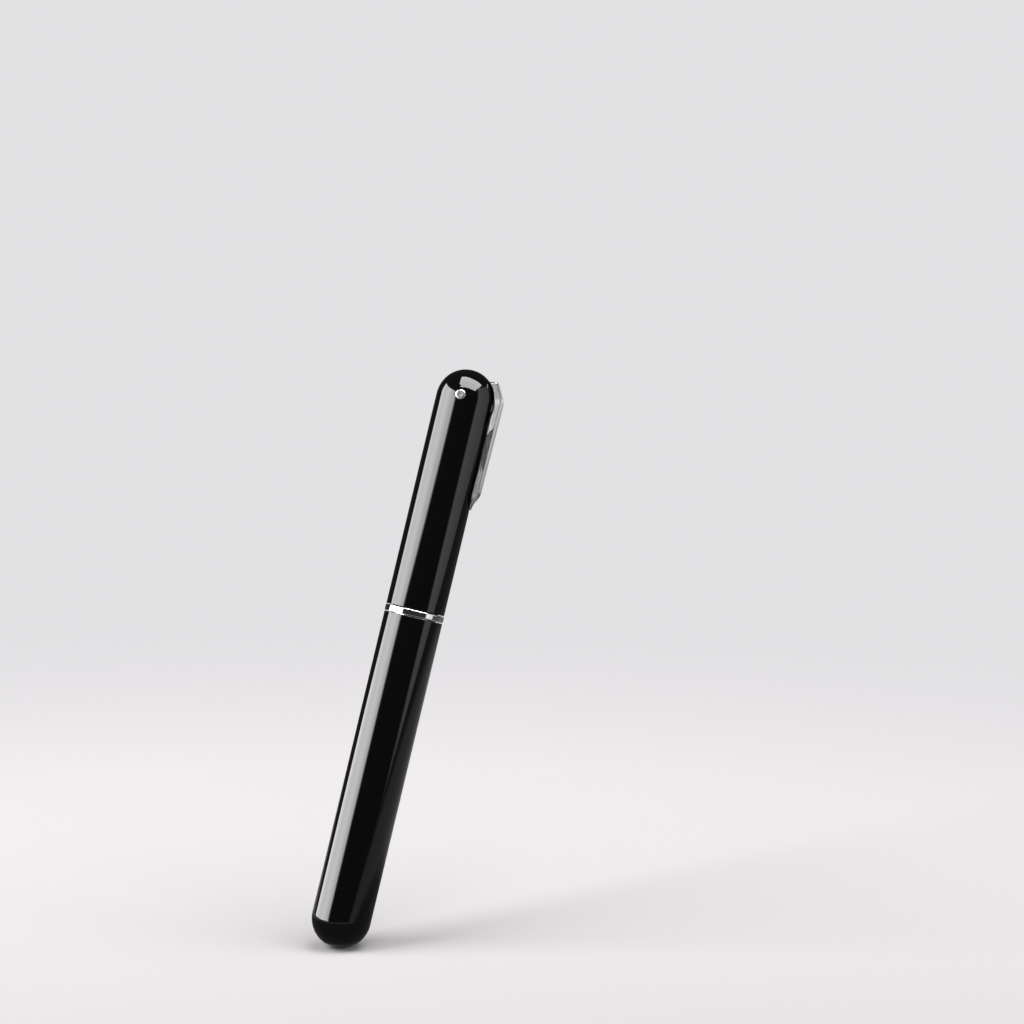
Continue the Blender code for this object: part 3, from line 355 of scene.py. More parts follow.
def prism(name, outline, half):
    """Plate of (x, z) outline points, half thick to each side of y = 0."""
    sides = np.stack([np.insert(outline, 1, y, axis=1) for y in (-half, half)], 1)
    piece = grid_piece(name, sides)
    ends = [list(range(0, 2 * len(outline), 2)), list(range(1, 2 * len(outline), 2))]
    mesh = bmesh.new()
    mesh.from_mesh(piece.data)
    mesh.verts.ensure_lookup_table()
    for end in ends:
        mesh.faces.new([mesh.verts[number] for number in end])
    mesh.to_mesh(piece.data)
    mesh.free()
    return closed(piece)


def moved(piece, turn=None, place=(0, 0, 0)):
    """Turns a piece's mesh by a quaternion and then moves it, and leaves its object in place."""
    matrix = (turn or Quaternion()).to_matrix().to_4x4()
    matrix.translation = Vector(place)
    piece.data.transform(matrix)
    return piece


ALONG_Y = Quaternion((1, 0, 0), math.pi / 2)


def drill(name, outline, place, segments=64):
    """A turned cutter laid along Y at a place."""
    return moved(revolved(name, np.array(outline, float), segments), ALONG_Y, place)


def barrel_outline(radius, total, wall, edge):
    """Outline of a tube with a domed foot at z = 0 and an open mouth at total."""
    outside = arc((0, radius), radius, -90, 0, 56)
    rim = arc((radius - edge, total - edge), edge, 0, 90, 6)
    inner = arc((radius - wall + edge / 2, total - edge / 2), edge / 2, 90, 180, 4)
    inside = arc((0, radius), radius - wall, 0, -90, 40)
    outline = np.vstack((outside, rim, inner, inside))
    outline[np.abs(outline[:, 0]) < WELD, 0] = 0
    return outline


def handle_shell():
    s = sizes()
    radius, low, high = span("handle_tube")
    shell = revolved("handle_shell", barrel_outline(radius, high - low, s.barrel_wall, s.edge), 224)
    return moved(shell, place=(0, 0, low))


def cap_shell():
    """The cap, cut for the plate of its clip and for both heads of its pin."""
    s = sizes()
    radius, low, high = span("cap_tube")
    outline = barrel_outline(radius, high - low, s.barrel_wall, s.edge)
    outline[:, 1] = high - outline[:, 1]
    cap = revolved("cap_shell", outline, 224)
    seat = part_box("clip_pin")[1].y - s.pin_head_height
    spot, hole, end = s.spot_radius, s.pin_radius + s.fit, radius + s.edge
    tool = [(0, -end), (spot, -end), (spot, -seat), (hole, -seat)]
    tool += [(hole, seat), (spot, seat), (spot, end), (0, end)]
    cut(cap, drill("pin_holes", tool, (0, 0, s.pin_height)))
    cut(cap, slot_tool("cap_slot", 0))
    bevel = cap.modifiers.new("edges", "BEVEL")
    bevel.width = s.fine_edge
    bevel.segments = 2
    bevel.limit_method = "ANGLE"
    bevel.angle_limit = math.radians(50)
    return cap


def slot_tool(name, back):
    """Cutter of the clip's slot, from x = back outwards."""
    s = sizes()
    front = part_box("clip")[1].x
    low, high = s.pin_height - s.slot_below, s.pin_height + s.slot_above
    return prism(name, np.array([(back, low), (front, low), (front, high), (back, high)]), s.slot_half)


def trim_ring():
    s = sizes()
    radius, low, high = span("trim_ring")
    bore = radius - s.ring_wall
    corners = [(bore, low, 0), (radius, low, s.ring_edge), (radius, high, s.ring_edge), (bore, high, 0)]
    return revolved("seam_ring", rounded(corners, 8), 224)


def clip_pin():
    """Both heads are nearly flat, with a round rim and the shallow dimple of a spun rivet.

    Towards the rim the face falls by the head's height times 1 less the root of 1 less a high
    power of the way to it. From its highest ring it also falls by the pin's dip, inwards as a
    cosine and outwards as a square.
    """
    s = sizes()
    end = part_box("clip_pin")[1].y
    share = np.sin(np.radians(np.linspace(90, 0, 33)))
    rim = s.pin_head_height * (1 - np.sqrt(1 - share**PIN_FLATNESS))
    inwards = (1 + np.cos(math.pi * np.clip(share / PIN_RIDGE_SHARE, 0, 1))) / 2
    outwards = np.clip((share - PIN_RIDGE_SHARE) / (1 - PIN_RIDGE_SHARE), 0, 1) ** 2
    fall = rim + s.pin_dip * (inwards + outwards)
    dome = np.column_stack((s.pin_head_radius * share, end - fall))
    half = np.vstack(([(s.pin_radius, dome[0, 1])], dome))
    half[-1, 0] = 0
    outline = np.vstack((half[::-1] * (1, -1), half))
    return moved(revolved("pin", outline, 96), ALONG_Y, (0, 0, s.pin_height))


# Power of the way to the rim of a pin head, and where its highest ring lies
PIN_FLATNESS = 14
PIN_RIDGE_SHARE = 0.55


def clip_lines(share):
    """Inner point, outer point and half width of the clip, for shares of its way tip to head.

    Below the dome's middle the inner line runs straight beside the barrel with a slight bow, and
    steps out a little between the flute and the head. The outer one runs closer to it towards the nose, and there falls to the lip as a power of a
    quarter of a sine. Above, the inner line is a circle, and the outer one rises a little
    further, bends in a small arc and runs on straight. The width follows the height, and is
    round at both ends.
    """
    s = sizes()
    low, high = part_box("clip")
    radius = span("cap_tube")[0]
    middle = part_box("cap_tube")[1].z - radius
    inner = radius + s.clip_gap
    below = np.clip(share / HEAD_START_SHARE, 0, 1)
    above = np.clip((share - HEAD_START_SHARE) / (1 - HEAD_START_SHARE), 0, 1)
    height = low.z + (middle - low.z) * below
    nose = np.clip((height - low.z) / s.clip_nose, 0, 1)
    past = np.clip((height - low.z - s.clip_nose) / (middle - low.z - s.clip_nose), 0, 1)
    full = s.clip_nose_depth + (s.clip_depth - s.clip_nose_depth) * past
    depth = s.clip_lip + (full - s.clip_lip) * np.sin(math.pi / 2 * nose) ** NOSE_POWER
    step = low.z + s.flute_high - s.clip_step / 2
    notch = s.clip_notch * soft_step(height, step, step + s.clip_step)
    bow = s.clip_bow * np.sin(math.pi * past) + notch * soft_step(-above, -NOTCH_SHARE, 0)
    inner_turn = np.radians(CLIP_INNER_TURN) * above
    way = above * (s.clip_rise + s.clip_bend * s.clip_slant + s.clip_slope)
    outer_turn = np.clip((way - s.clip_rise) / s.clip_bend, 0, s.clip_slant)
    slope = np.maximum(way - s.clip_rise - s.clip_bend * s.clip_slant, 0)
    inside = np.column_stack(
        (inner * np.cos(inner_turn) + bow, height + inner * np.sin(inner_turn))
    )
    back = s.clip_bend * (1 - np.cos(outer_turn)) + slope * math.sin(s.clip_slant)
    up = s.clip_bend * np.sin(outer_turn) + slope * math.cos(s.clip_slant)
    outside = np.column_stack(
        (inner + depth - back, height + np.minimum(way, s.clip_rise) + up)
    )
    width = s.clip_tip + (s.clip_root - s.clip_tip) * (height - low.z) / (middle - low.z)
    nose_round = quarter_round(TIP_ROUND_SHARE + nose / NOSE_ROUND_SHARE)
    head_round = quarter_round(HEAD_ROUND_SHARE + (1 - above) / HEAD_ROUND_SPAN)
    return inside, outside, width * nose_round * head_round


def quarter_round(share):
    """Height of a quarter circle, 0 at share 0 and 1 from share 1 on."""
    return np.sqrt(1 - (1 - np.clip(share, 0, 1)) ** 2)


# Where the head starts on the way from tip to head, and how the ends are rounded from the front
HEAD_START_SHARE = 0.78
TIP_ROUND_SHARE = 0.04
NOSE_ROUND_SHARE = 0.75
HEAD_ROUND_SHARE = 0.5
HEAD_ROUND_SPAN = 0.12
# Share of the head in which the inner line steps back in
NOTCH_SHARE = 0.35
# Power of the quarter sine by which the nose rises
NOSE_POWER = 3
# Turn over which the head's inner line runs round, in degrees
CLIP_INNER_TURN = 45.5


def clip_section_points(inside, outside, half, edge):
    """Points round the clip's section at every station, as (stations, points, 3).

    Each section is a strip from its inner to its outer line. Its flanks lean in towards the
    barrel by a share of the depth, less so in a pressed flute with slanting ends. Its outer
    edges are rounded and its face is slightly crowned.
    """
    s = sizes()
    out = outside - inside
    depth = np.linalg.norm(out, axis=1)
    out = out / depth[:, None]
    edge = np.minimum(np.minimum(edge, depth * 0.45), half * 0.45)
    share = np.linspace(0, 1, 13)[None, :]
    height = inside[:, 1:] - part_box("clip")[0].z
    slant = s.flute_slant * (share - 0.5)
    flute = soft_step(height, s.flute_low - slant, s.flute_low - slant + s.flute_end)
    flute = flute * soft_step(-height, -(s.flute_high + slant), s.flute_end - s.flute_high - slant)
    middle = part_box("cap_tube")[1].z - span("cap_tube")[0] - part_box("clip")[0].z
    below = np.clip(height / middle, 0, 1)
    above = np.clip((height - middle) / (height[-1] - middle), 0, 1)
    lean = LOW_LEAN_SHARE + (HIGH_LEAN_SHARE - LOW_LEAN_SHARE) * np.sqrt(below) + 0 * share
    lean = lean + HEAD_LEAN_SHARE * soft_step(above, 0, HEAD_START_SPAN)
    lean = lean + (FLUTE_LEAN_SHARE - lean) * flute
    mean = (lean[:, :-1] + lean[:, 1:]) / 2 * (share[:, 1:] - share[:, :-1])
    fall = np.concatenate((np.cumsum(mean[:, ::-1], 1)[:, ::-1], 0 * depth[:, None]), 1)
    across = [half - fall[:, number] * depth for number in range(12)]
    along = [(depth - edge) * share[0, number] for number in range(12)]
    for turn in np.radians(np.linspace(0, 90, 7)):
        across.append(half - edge + edge * math.cos(turn))
        along.append(depth - edge + edge * math.sin(turn) * (1 - CROWN_SHARE))
    for part in np.linspace(1, 0, 9)[1:]:
        across.append((half - edge) * part)
        along.append(depth - edge * CROWN_SHARE * part**2)
    across, along = np.stack(across, 1), np.stack(along, 1)
    across = np.concatenate((across, -across[:, -2::-1]), 1)
    along = np.concatenate((along, along[:, -2::-1]), 1)
    x = inside[:, :1] + out[:, :1] * along
    z = inside[:, 1:] + out[:, 1:] * along
    return np.stack((x, -across, z), -1)


# Crown of the outer face as a share of its edge
CROWN_SHARE = 0.35
# How far the flanks lean in per depth: low, high, more at the head, and in the flute
LOW_LEAN_SHARE = 0.087
HIGH_LEAN_SHARE = 0.103
HEAD_LEAN_SHARE = 0.011
FLUTE_LEAN_SHARE = 0.03
# Share of the head in which its lean changes
HEAD_START_SPAN = 0.25


def capped(piece, points):
    """Closes the first and last ring of a lofted piece with a face each."""
    rings, around = points.shape[:2]
    mesh = bmesh.new()
    mesh.from_mesh(piece.data)
    mesh.verts.ensure_lookup_table()
    for start in (0, (rings - 1) * around):
        mesh.faces.new([mesh.verts[start + number] for number in range(around)])
    mesh.to_mesh(piece.data)
    mesh.free()
    return closed(piece, 40)


def lofted(name, points):
    """Closed piece of an array of rings, (rings, points round a ring, 3)."""
    return capped(grid_piece(name, points, around=False, along=True), points)


def clip_strap():
    """Strap of the clip with its hollow, its plate and the eye that turns on the pin."""
    s = sizes()
    share = np.concatenate(
        (
            np.linspace(0, 0.2, 30)[:-1],
            np.linspace(0.2, HEAD_START_SHARE, 90)[:-1],
            np.linspace(HEAD_START_SHARE, 1, 34),
        )
    )
    inside, outside, half = clip_lines(share)
    points = clip_section_points(inside, outside, half, s.clip_edge)
    clip = lofted("clip_strap", points)
    low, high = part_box("clip")
    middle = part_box("cap_tube")[1].z - span("cap_tube")[0]
    back, front = span("cap_tube")[0], high.x - s.clip_wall - s.clip_bow
    rings = []
    for height in (low.z + s.clip_nose + 1.0 * MM, middle - 6.0 * MM):
        part = (height - low.z) / (middle - low.z)
        wide = s.clip_tip + (s.clip_root - s.clip_tip) * part - s.clip_wall
        rings.append([(back, -wide * 0.8, height), (front, -wide, height), (front, wide, height), (back, wide * 0.8, height)])
    cut(clip, lofted("clip_hollow", np.array(rings)))
    cut(clip, clip_plate(), "UNION")
    eye = s.pin_radius + s.slide
    tool = [(0, -front), (eye, -front), (eye, front), (0, front)]
    cut(clip, drill("clip_eye", tool, (0, 0, s.pin_height)))
    bevel = clip.modifiers.new("edges", "BEVEL")
    bevel.width = s.fine_edge
    bevel.segments = 2
    bevel.limit_method = "ANGLE"
    bevel.angle_limit = math.radians(50)
    return clip


def clip_plate():
    """Plate of the clip: its root in the strap, an eye round the pin and a tail for the spring."""
    s = sizes()
    pin = s.pin_height
    low_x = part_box("clip")[0].x
    eye, tail = 2.4 * MM, 1.0 * MM
    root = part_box("clip")[1].x - s.clip_depth + 1.0 * MM
    turn = math.degrees(math.asin(tail / eye))
    outline = np.vstack(
        (
            [(root, pin - 3.4 * MM), (root, pin + 3.8 * MM)],
            arc((0, pin), eye, 75, 180 - turn, 16),
            arc((low_x + s.edge, pin + tail - s.edge), s.edge, 90, 180, 4),
            arc((low_x + s.edge, pin - tail + s.edge), s.edge, 180, 270, 4),
            arc((0, pin), eye, 180 + turn, 285, 16),
        )
    )
    return prism("clip_plate", outline, s.web_half)


def sleeve(name, node, wall, lead_low, lead_high, edge, segments=192):
    """A plain sleeve over the box of a node, with rounded outer edges and a lead in its bore."""
    radius, low, high = span(node)
    bore = radius - wall
    corners = [
        (bore, low + lead_low, edge / 2),
        (bore + lead_low, low, edge / 3),
        (radius, low, edge),
        (radius, high, edge),
        (bore + lead_high, high, edge / 3),
        (bore, high - lead_high, edge / 2),
    ]
    return revolved(name, rounded(corners), segments)


def groove(outer, section, centre, middle, gap):
    """Corners, bottom to top, of the groove that holds a rubber ring."""
    floor = centre - section - gap
    half = section + gap
    return [
        (outer, middle - half, 0.05 * MM),
        (floor, middle - half, 0.1 * MM),
        (floor, middle + half, 0.1 * MM),
        (outer, middle + half, 0.05 * MM),
    ]


def ring_section(node):
    """Section radius and centre radius of a round rubber ring, and the height of its middle."""
    radius, low, high = span(node)
    section = (high - low) / 2
    return section, radius - section, (high + low) / 2


def rubber_ring(name, node):
    """A torus: the section's circle carried round the axis."""
    section, centre, middle = ring_section(node)
    outline = arc((centre, middle), section, 0, 360, 40)[:-1]
    return revolved(name, outline, 160)


def hub():
    """Head of the pump, from its spigot to the face that meets the bottle."""
    s = sizes()
    flange, base, top = span("needle_hub")
    tube, _, shoulder = span("pump_cylinder")
    ring_low, ring_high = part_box("trim_ring")[0].z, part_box("trim_ring")[1].z
    plug = tube - s.tube_wall - s.slide
    seal, seal_centre, seal_middle = ring_section("hub_seal")
    neck, neck_centre, neck_middle = ring_section("neck_ring")
    floor = top - s.recess_depth
    room_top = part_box("needle_ferrule")[0].z
    seat = base + 1.4 * MM
    corners = [(s.valve_hole, base, 0), (plug, base, s.edge)]
    corners += groove(plug, seal, seal_centre, seal_middle, s.fit)
    corners += [
        (plug, shoulder, 0),
        (tube, shoulder, s.fine_edge),
        (tube, ring_low, 0),
        (flange, ring_low, s.fine_edge),
        (flange, ring_high, s.fine_edge),
        (s.neck_radius, ring_high, s.edge),
    ]
    corners += groove(s.neck_radius, neck, neck_centre, neck_middle, s.fit)
    corners += [
        (s.neck_radius, top - 0.5 * MM, s.edge),
        (s.neck_radius - 0.5 * MM, top, s.edge),
        (s.recess_radius, top, s.fine_edge),
        (s.recess_radius, floor, s.edge),
        (s.ferrule_radius + s.fit, floor, s.fine_edge),
        (s.ferrule_radius + s.fit, room_top, 0),
        (s.valve_room, room_top, 0),
        (s.valve_room, seat + s.valve_room - s.valve_hole, 0),
        (s.valve_hole, seat, 0),
    ]
    return revolved("pump_head", rounded(corners, 4), 192)


def hexagon_tool(flats, low, high):
    """Ring with a hexagonal hole, which mills six flats."""
    turn = np.radians(np.arange(0, 360, 60))[:, None]
    corner = flats / math.sqrt(3)
    radius = np.array([[corner, 2 * corner, 2 * corner, corner]])
    height = np.array([[low, low, high, high]])
    points = np.stack((radius * np.cos(turn), radius * np.sin(turn), height + 0 * turn), -1)
    return closed(grid_piece("flats", points, along=True))


def ferrule():
    """Hexagon fitting of the needle, with its top edge turned down and six milled flats."""
    s = sizes()
    _, low, high = span("needle_ferrule")
    head = high - s.ferrule_head
    corner = s.ferrule_flats / math.sqrt(3)
    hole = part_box("needle")[1].x + s.fit
    corners = [
        (0.8 * MM, low, 0),
        (s.ferrule_radius, low, s.edge),
        (s.ferrule_radius, head, 0),
        (corner, head, 0.05 * MM),
        (corner, high - 0.3 * MM, 0.05 * MM),
        (corner - 0.7 * MM, high, s.fine_edge),
        (hole + 0.3 * MM, high, s.fine_edge),
        (hole, high - 0.3 * MM, s.fine_edge),
        (hole, low + 1.8 * MM, 0),
        (0.8 * MM, low + 1.8 * MM, 0),
    ]
    thread = (s.ferrule_radius, low + s.edge, head - s.edge, s.ferrule_pitch)
    body = revolved("needle_fitting", rounded(corners, 4), 120, thread)
    return cut(body, hexagon_tool(s.ferrule_flats, head - s.fit, high + s.edge))


def lock_nut():
    """Hexagon nut: a turned blank with both its rims turned off at 30 degrees, and six flats."""
    s = sizes()
    corner, low, high = span("rod_lock_nut")
    hole, flat = s.rod_radius + s.fit, s.nut_flats / 2
    drop = (corner - flat) * math.tan(math.radians(30))
    corners = [
        (hole + s.edge, low, 0),
        (flat, low, 0),
        (corner, low + drop, 0),
        (corner, high - drop, 0),
        (flat, high, 0),
        (hole + s.edge, high, 0),
        (hole, high - s.edge, 0),
        (hole, low + s.edge, 0),
    ]
    nut = revolved("lock_nut", rounded(corners), 120)
    return cut(nut, hexagon_tool(s.nut_flats, low - s.edge, high + s.edge))


def foot_plug():
    """Plug in the foot: below, an arc like the dome's; above, a blind hole for the rod."""
    s = sizes()
    radius, low, high = span("rod_anchor")
    middle = span("handle_tube")[0]
    hole, floor = s.rod_radius + s.fit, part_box("piston_rod")[0].z
    turn = math.degrees(math.asin((middle - low) / radius))
    outline = np.vstack(
        (
            [(0, low)],
            arc((0, middle), radius, -turn, 0, 12),
            arc((radius - s.edge, high - s.edge), s.edge, 0, 90, 5),
            [(hole + s.edge, high), (hole, high - s.edge), (hole, floor), (0, floor)],
        )
    )
    return revolved("foot_plug", outline, 160)


def rod():
    """Piston rod: a threaded foot, a flange under the piston and a hole for the screw."""
    s = sizes()
    flange, low, high = span("piston_rod")
    hole, floor = s.screw_radius + s.fit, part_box("piston_screw")[0].z - s.fit
    corners = [
        (0, low, 0),
        (s.rod_radius, low, s.edge),
        (s.rod_radius, high - s.rod_flange, s.edge),
        (flange, high - s.rod_flange, s.fine_edge),
        (flange, high, s.fine_edge),
        (hole, high, s.fine_edge),
        (hole, floor, 0),
        (0, floor, 0),
    ]
    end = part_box("rod_lock_nut")[1].z + s.rod_thread
    thread = (s.rod_radius, low + s.edge, end, s.rod_pitch)
    return revolved("pump_rod", rounded(corners), 96, thread)


def piston():
    """Piston with the groove of its ring and a recess for the head of its screw."""
    s = sizes()
    radius, low, high = span("piston")
    hole, head = s.screw_radius + s.fit, span("piston_screw")[0] + 2 * s.fit
    section, centre, middle = ring_section("piston_ring")
    corners = [(hole, low, s.fine_edge), (radius, low, s.edge)]
    corners += groove(radius, section, centre, middle, s.fit)
    corners += [
        (radius, high, s.edge),
        (head, high, s.fine_edge),
        (head, high - s.screw_recess, s.fine_edge),
        (hole, high - s.screw_recess, 0),
    ]
    return revolved("pump_piston", rounded(corners), 160)


def clamp_screw():
    """Screw with a round head and a hexagon socket, which clamps the piston to its rod."""
    s = sizes()
    head, low, high = span("piston_screw")
    seat = high - s.screw_head
    corners = [
        (0, low, 0),
        (s.screw_radius, low, s.edge),
        (s.screw_radius, seat, s.fine_edge),
        (head, seat, s.fine_edge),
        (head, high, s.edge),
        (0, high, 0),
    ]
    thread = (s.screw_radius, low + s.edge, seat - s.screw_neck, s.screw_pitch)
    screw = revolved("clamp_screw", rounded(corners), 96, thread)
    corner, floor, top = s.socket_flats / math.sqrt(3), high - s.socket_depth, high + s.edge
    tool = [(0, floor), (corner, floor), (corner, top), (0, top)]
    return cut(screw, revolved("socket", tool, 6))


def gland():
    """Plug in the tube's lower end, with a hole that the rod slides in and four air holes."""
    s = sizes()
    flange, low, high = span("rod_gland")
    tube, base, _ = span("pump_cylinder")
    hole, plug = s.rod_radius + s.slide, tube - s.tube_wall - s.slide
    corners = [
        (hole, low, s.edge),
        (flange, low, s.edge),
        (flange, base, s.fine_edge),
        (plug, base, 0),
        (plug, high, s.edge),
        (hole, high, s.edge),
    ]
    piece = revolved("tube_gland", rounded(corners), 160)
    low, high = low - s.edge, high + s.edge
    tool = [(0, low), (s.air_radius, low), (s.air_radius, high), (0, high)]
    for turn in np.radians((45, 135, 225, 315)):
        place = (s.air_circle * math.cos(turn), s.air_circle * math.sin(turn), 0)
        cut(piece, moved(revolved("air_hole", tool, 40), place=place))
    return piece


def gasket():
    _, low, high = span("needle_gasket")
    s = sizes()
    outer = s.ferrule_flats / math.sqrt(3)
    inner = s.ferrule_radius + s.fit
    corners = [(inner, low, 0), (outer, low, 0.15 * MM), (outer, high, 0.15 * MM), (inner, high, 0)]
    return revolved("gasket", rounded(corners), 128)


def needle():
    """Hollow needle. Its point is an ogive: the radius falls with the square of the way up."""
    s = sizes()
    radius, low, high = span("needle")
    way = np.linspace(0, 1, 28)
    tip = 0.12 * MM
    ogive = np.column_stack(
        (tip + (radius - tip) * (1 - way**1.7), high - s.needle_point * (1 - way) - tip * 0.5 * (way > 0.99))
    )
    ogive[-1] = (0, high)
    ogive[-2, 1] = high - 0.03 * MM
    bore_top = high - 7.5 * MM
    shaft = [(s.needle_bore, low), (radius - s.fine_edge, low), (radius, low + s.fine_edge)]
    bore = [(0, bore_top), (s.needle_bore, bore_top - s.needle_bore)]
    body = revolved("needle_tube", np.vstack((shaft, ogive, bore)), 96)
    tool = [(0, 0), (s.port_radius, 0), (s.port_radius, 2 * radius), (0, 2 * radius)]
    cut(body, drill("port", tool, (0, 0, high - s.port_drop), 32))
    return body


def ball():
    low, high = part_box("valve_ball")
    radius = (high.z - low.z) / 2
    outline = arc((0, (high.z + low.z) / 2), radius, -90, 90, 48)
    outline[[0, -1], 0] = 0
    return revolved("check_ball", outline, 96)


def coil(name, node, turns, wire):
    """Helix of round wire with closed ends.

    The wire's middle climbs evenly round the coil. The section is a circle in the plane of the radius and the
    normal of the helix.
    """
    low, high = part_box(node)
    centre = (low + high) / 2
    radius = (high.x - low.x) / 2 - wire
    share = np.linspace(0, 1, turns * 48 + 1)
    turn = TAU * turns * share
    height = low.z + wire + (high.z - low.z - 2 * wire) * share
    line = np.stack((centre.x + radius * np.cos(turn), centre.y + radius * np.sin(turn), height), -1)
    ahead = np.gradient(line, axis=0)
    ahead /= np.linalg.norm(ahead, axis=1, keepdims=True)
    out = np.stack((np.cos(turn), np.sin(turn), 0 * turn), -1)
    side = np.cross(ahead, out)
    around = np.linspace(0, TAU, 14, endpoint=False)[None, :, None]
    points = line[:, None] + wire * (np.cos(around) * out[:, None] + np.sin(around) * side[:, None])
    return lofted(name, points)


def clip_block():
    """Block in the dome, with the clip's slot, the pin's hole and the spring's pocket."""
    s = sizes()
    radius, low, high = span("clip_block")
    middle = high - radius
    dome = arc((0, middle), radius, 0, 90, 40)
    dome[-1, 0] = 0
    outline = np.vstack(([(0, low), (radius - s.edge, low)], arc((radius - s.edge, low + s.edge), s.edge, -90, 0, 4), dome))
    block = revolved("dome_block", outline, 128)
    cut(block, slot_tool("block_slot", -s.slot_behind))
    hole, end = s.pin_radius + s.fit, 2 * radius
    tool = [(0, -end), (hole, -end), (hole, end), (0, end)]
    cut(block, drill("block_hole", tool, (0, 0, s.pin_height)))
    spring_low, spring_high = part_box("clip_spring")
    pocket = (spring_high.x - spring_low.x) / 2 + 0.25 * MM
    floor = spring_low.z - s.fit
    tool = np.array([(0, floor), (pocket, floor), (pocket, s.pin_height + 2 * MM), (0, s.pin_height + 2 * MM)])
    tool_piece = moved(revolved("pocket", tool, 64), place=((spring_high.x + spring_low.x) / 2, 0, 0))
    return cut(block, tool_piece)


def node(material, kind, settings=None, **inputs):
    """Adds a node with its settings, and gives each input a value or a link."""
    tree = material.node_tree
    made = tree.nodes.new(kind)
    for name, value in (settings or {}).items():
        setattr(made, name, value)
    for name, value in inputs.items():
        number = int(name[1:]) if name[0] == "i" and name[1:].isdigit() else name.replace("_", " ")
        socket = made.inputs[number]
        if isinstance(value, bpy.types.NodeSocket):
            tree.links.new(value, socket)
        else:
            socket.default_value = value
    return made


def new_material(name, base, roughness, metallic=0.0, uniform=None):
    """A material with a Principled shader. Uniform values are set on its own sockets."""
    material = bpy.data.materials.new(name)
    material.use_nodes = True
    shader = material.node_tree.nodes["Principled BSDF"]
    shader.inputs["Base Color"].default_value = (*base, 1)
    shader.inputs["Roughness"].default_value = roughness
    shader.inputs["Metallic"].default_value = metallic
    for socket, value in (uniform or {}).items():
        shader.inputs[socket].default_value = value
    return material


def shader_of(material):
    return material.node_tree.nodes["Principled BSDF"]


def link(material, output, socket):
    material.node_tree.links.new(output, shader_of(material).inputs[socket])


def place_of(material):
    return node(material, "ShaderNodeTexCoord").outputs["Object"]


def noise(material, size, detail=2.0, vector=None, stretch=None):
    """Noise value whose features are size metres wide, stretched by three factors."""
    where = vector or place_of(material)
    if stretch:
        where = node(material, "ShaderNodeMapping", Vector=where, Scale=stretch).outputs[0]
    made = node(
        material, "ShaderNodeTexNoise", Vector=where, Scale=1 / size, Detail=detail, Roughness=0.55
    )
    return made.outputs["Fac"]


def ranged(material, value, low, high, start=0.3, end=0.7):
    """Maps a value between start and end to low and high."""
    made = node(
        material, "ShaderNodeMapRange", i0=value, i1=start, i2=end, i3=low, i4=high
    )
    return made.outputs[0]


def turned_lines(material, pitch):
    """Tool marks of a lathe: a sine of the height plus the distance from the axis."""
    parts = node(material, "ShaderNodeSeparateXYZ", Vector=place_of(material)).outputs
    flat = node(material, "ShaderNodeCombineXYZ", X=parts["X"], Y=parts["Y"]).outputs[0]
    out = node(material, "ShaderNodeVectorMath", {"operation": "LENGTH"}, Vector=flat).outputs["Value"]
    run = node(material, "ShaderNodeMath", {"operation": "ADD"}, i0=out, i1=parts["Z"]).outputs[0]
    scaled = node(material, "ShaderNodeMath", {"operation": "MULTIPLY"}, i0=run, i1=TAU / pitch)
    return node(material, "ShaderNodeMath", {"operation": "SINE"}, i0=scaled.outputs[0]).outputs[0]


def bumped(material, height, distance, strength=1.0):
    """Raises the surface by height times distance, in metres."""
    made = node(
        material, "ShaderNodeBump", Height=height, Distance=distance, Strength=strength
    )
    link(material, made.outputs[0], "Normal")


def gloss_lacquer():
    """Black lacquer, sprayed over aluminium and polished.

    The eye sees deep black with sharp reflections, a very faint orange peel and a slightly duller
    patch where hands have been.
    """
    c = bpy.context.scene.pen_colours
    material = new_material("sprayed_black_lacquer", c.lacquer, 0.05, uniform={"IOR": 1.5})
    # Handling marks, about 6 mm wide, between clean and slightly dull lacquer
    marks = noise(material, 6 * MM, 3)
    link(material, ranged(material, marks, 0.035, 0.075), "Roughness")
    # Orange peel has waves of 1 to 2 mm, a few hundredths of a micrometre to a micrometre high
    bumped(material, noise(material, 1.6 * MM, 1), 0.0009 * MM)
    return material


def chrome(name, stretch, roughness=0.05):
    """Chrome over nickel, plated and then polished along the piece.

    The eye sees a bright mirror with a cool tint and faint hairlines from the polishing wheel.
    """
    c = bpy.context.scene.pen_colours
    material = new_material(name, c.chrome, roughness, 1.0)
    # Hairlines of a polishing wheel are finer than shown here, 0.15 mm wide
    hair = noise(material, 0.15 * MM, 2, stretch=stretch)
    smear = noise(material, 4 * MM, 3)
    link(material, ranged(material, smear, roughness * 0.7, roughness * 1.7), "Roughness")
    bumped(material, hair, 0.00035 * MM)
    return material


def satin_chrome(name, roughness):
    """Chrome over blasted nickel, brushed lengthwise.

    The eye sees an even, soft grey sheen in place of a mirror, with very faint lengthwise lines.
    """
    c = bpy.context.scene.pen_colours
    material = new_material(name, c.chrome, roughness, 1.0)
    # Brush lines are finer than shown here, 0.12 mm wide and about 3 mm long
    lines = noise(material, 0.12 * MM, 2, stretch=(1, 1, 0.04))
    # Fingers leave patches of 5 mm that are hardly duller
    patches = noise(material, 5 * MM, 2)
    link(material, ranged(material, patches, roughness * 0.98, roughness * 1.03), "Roughness")
    bumped(material, lines, 0.0001 * MM)
    return material


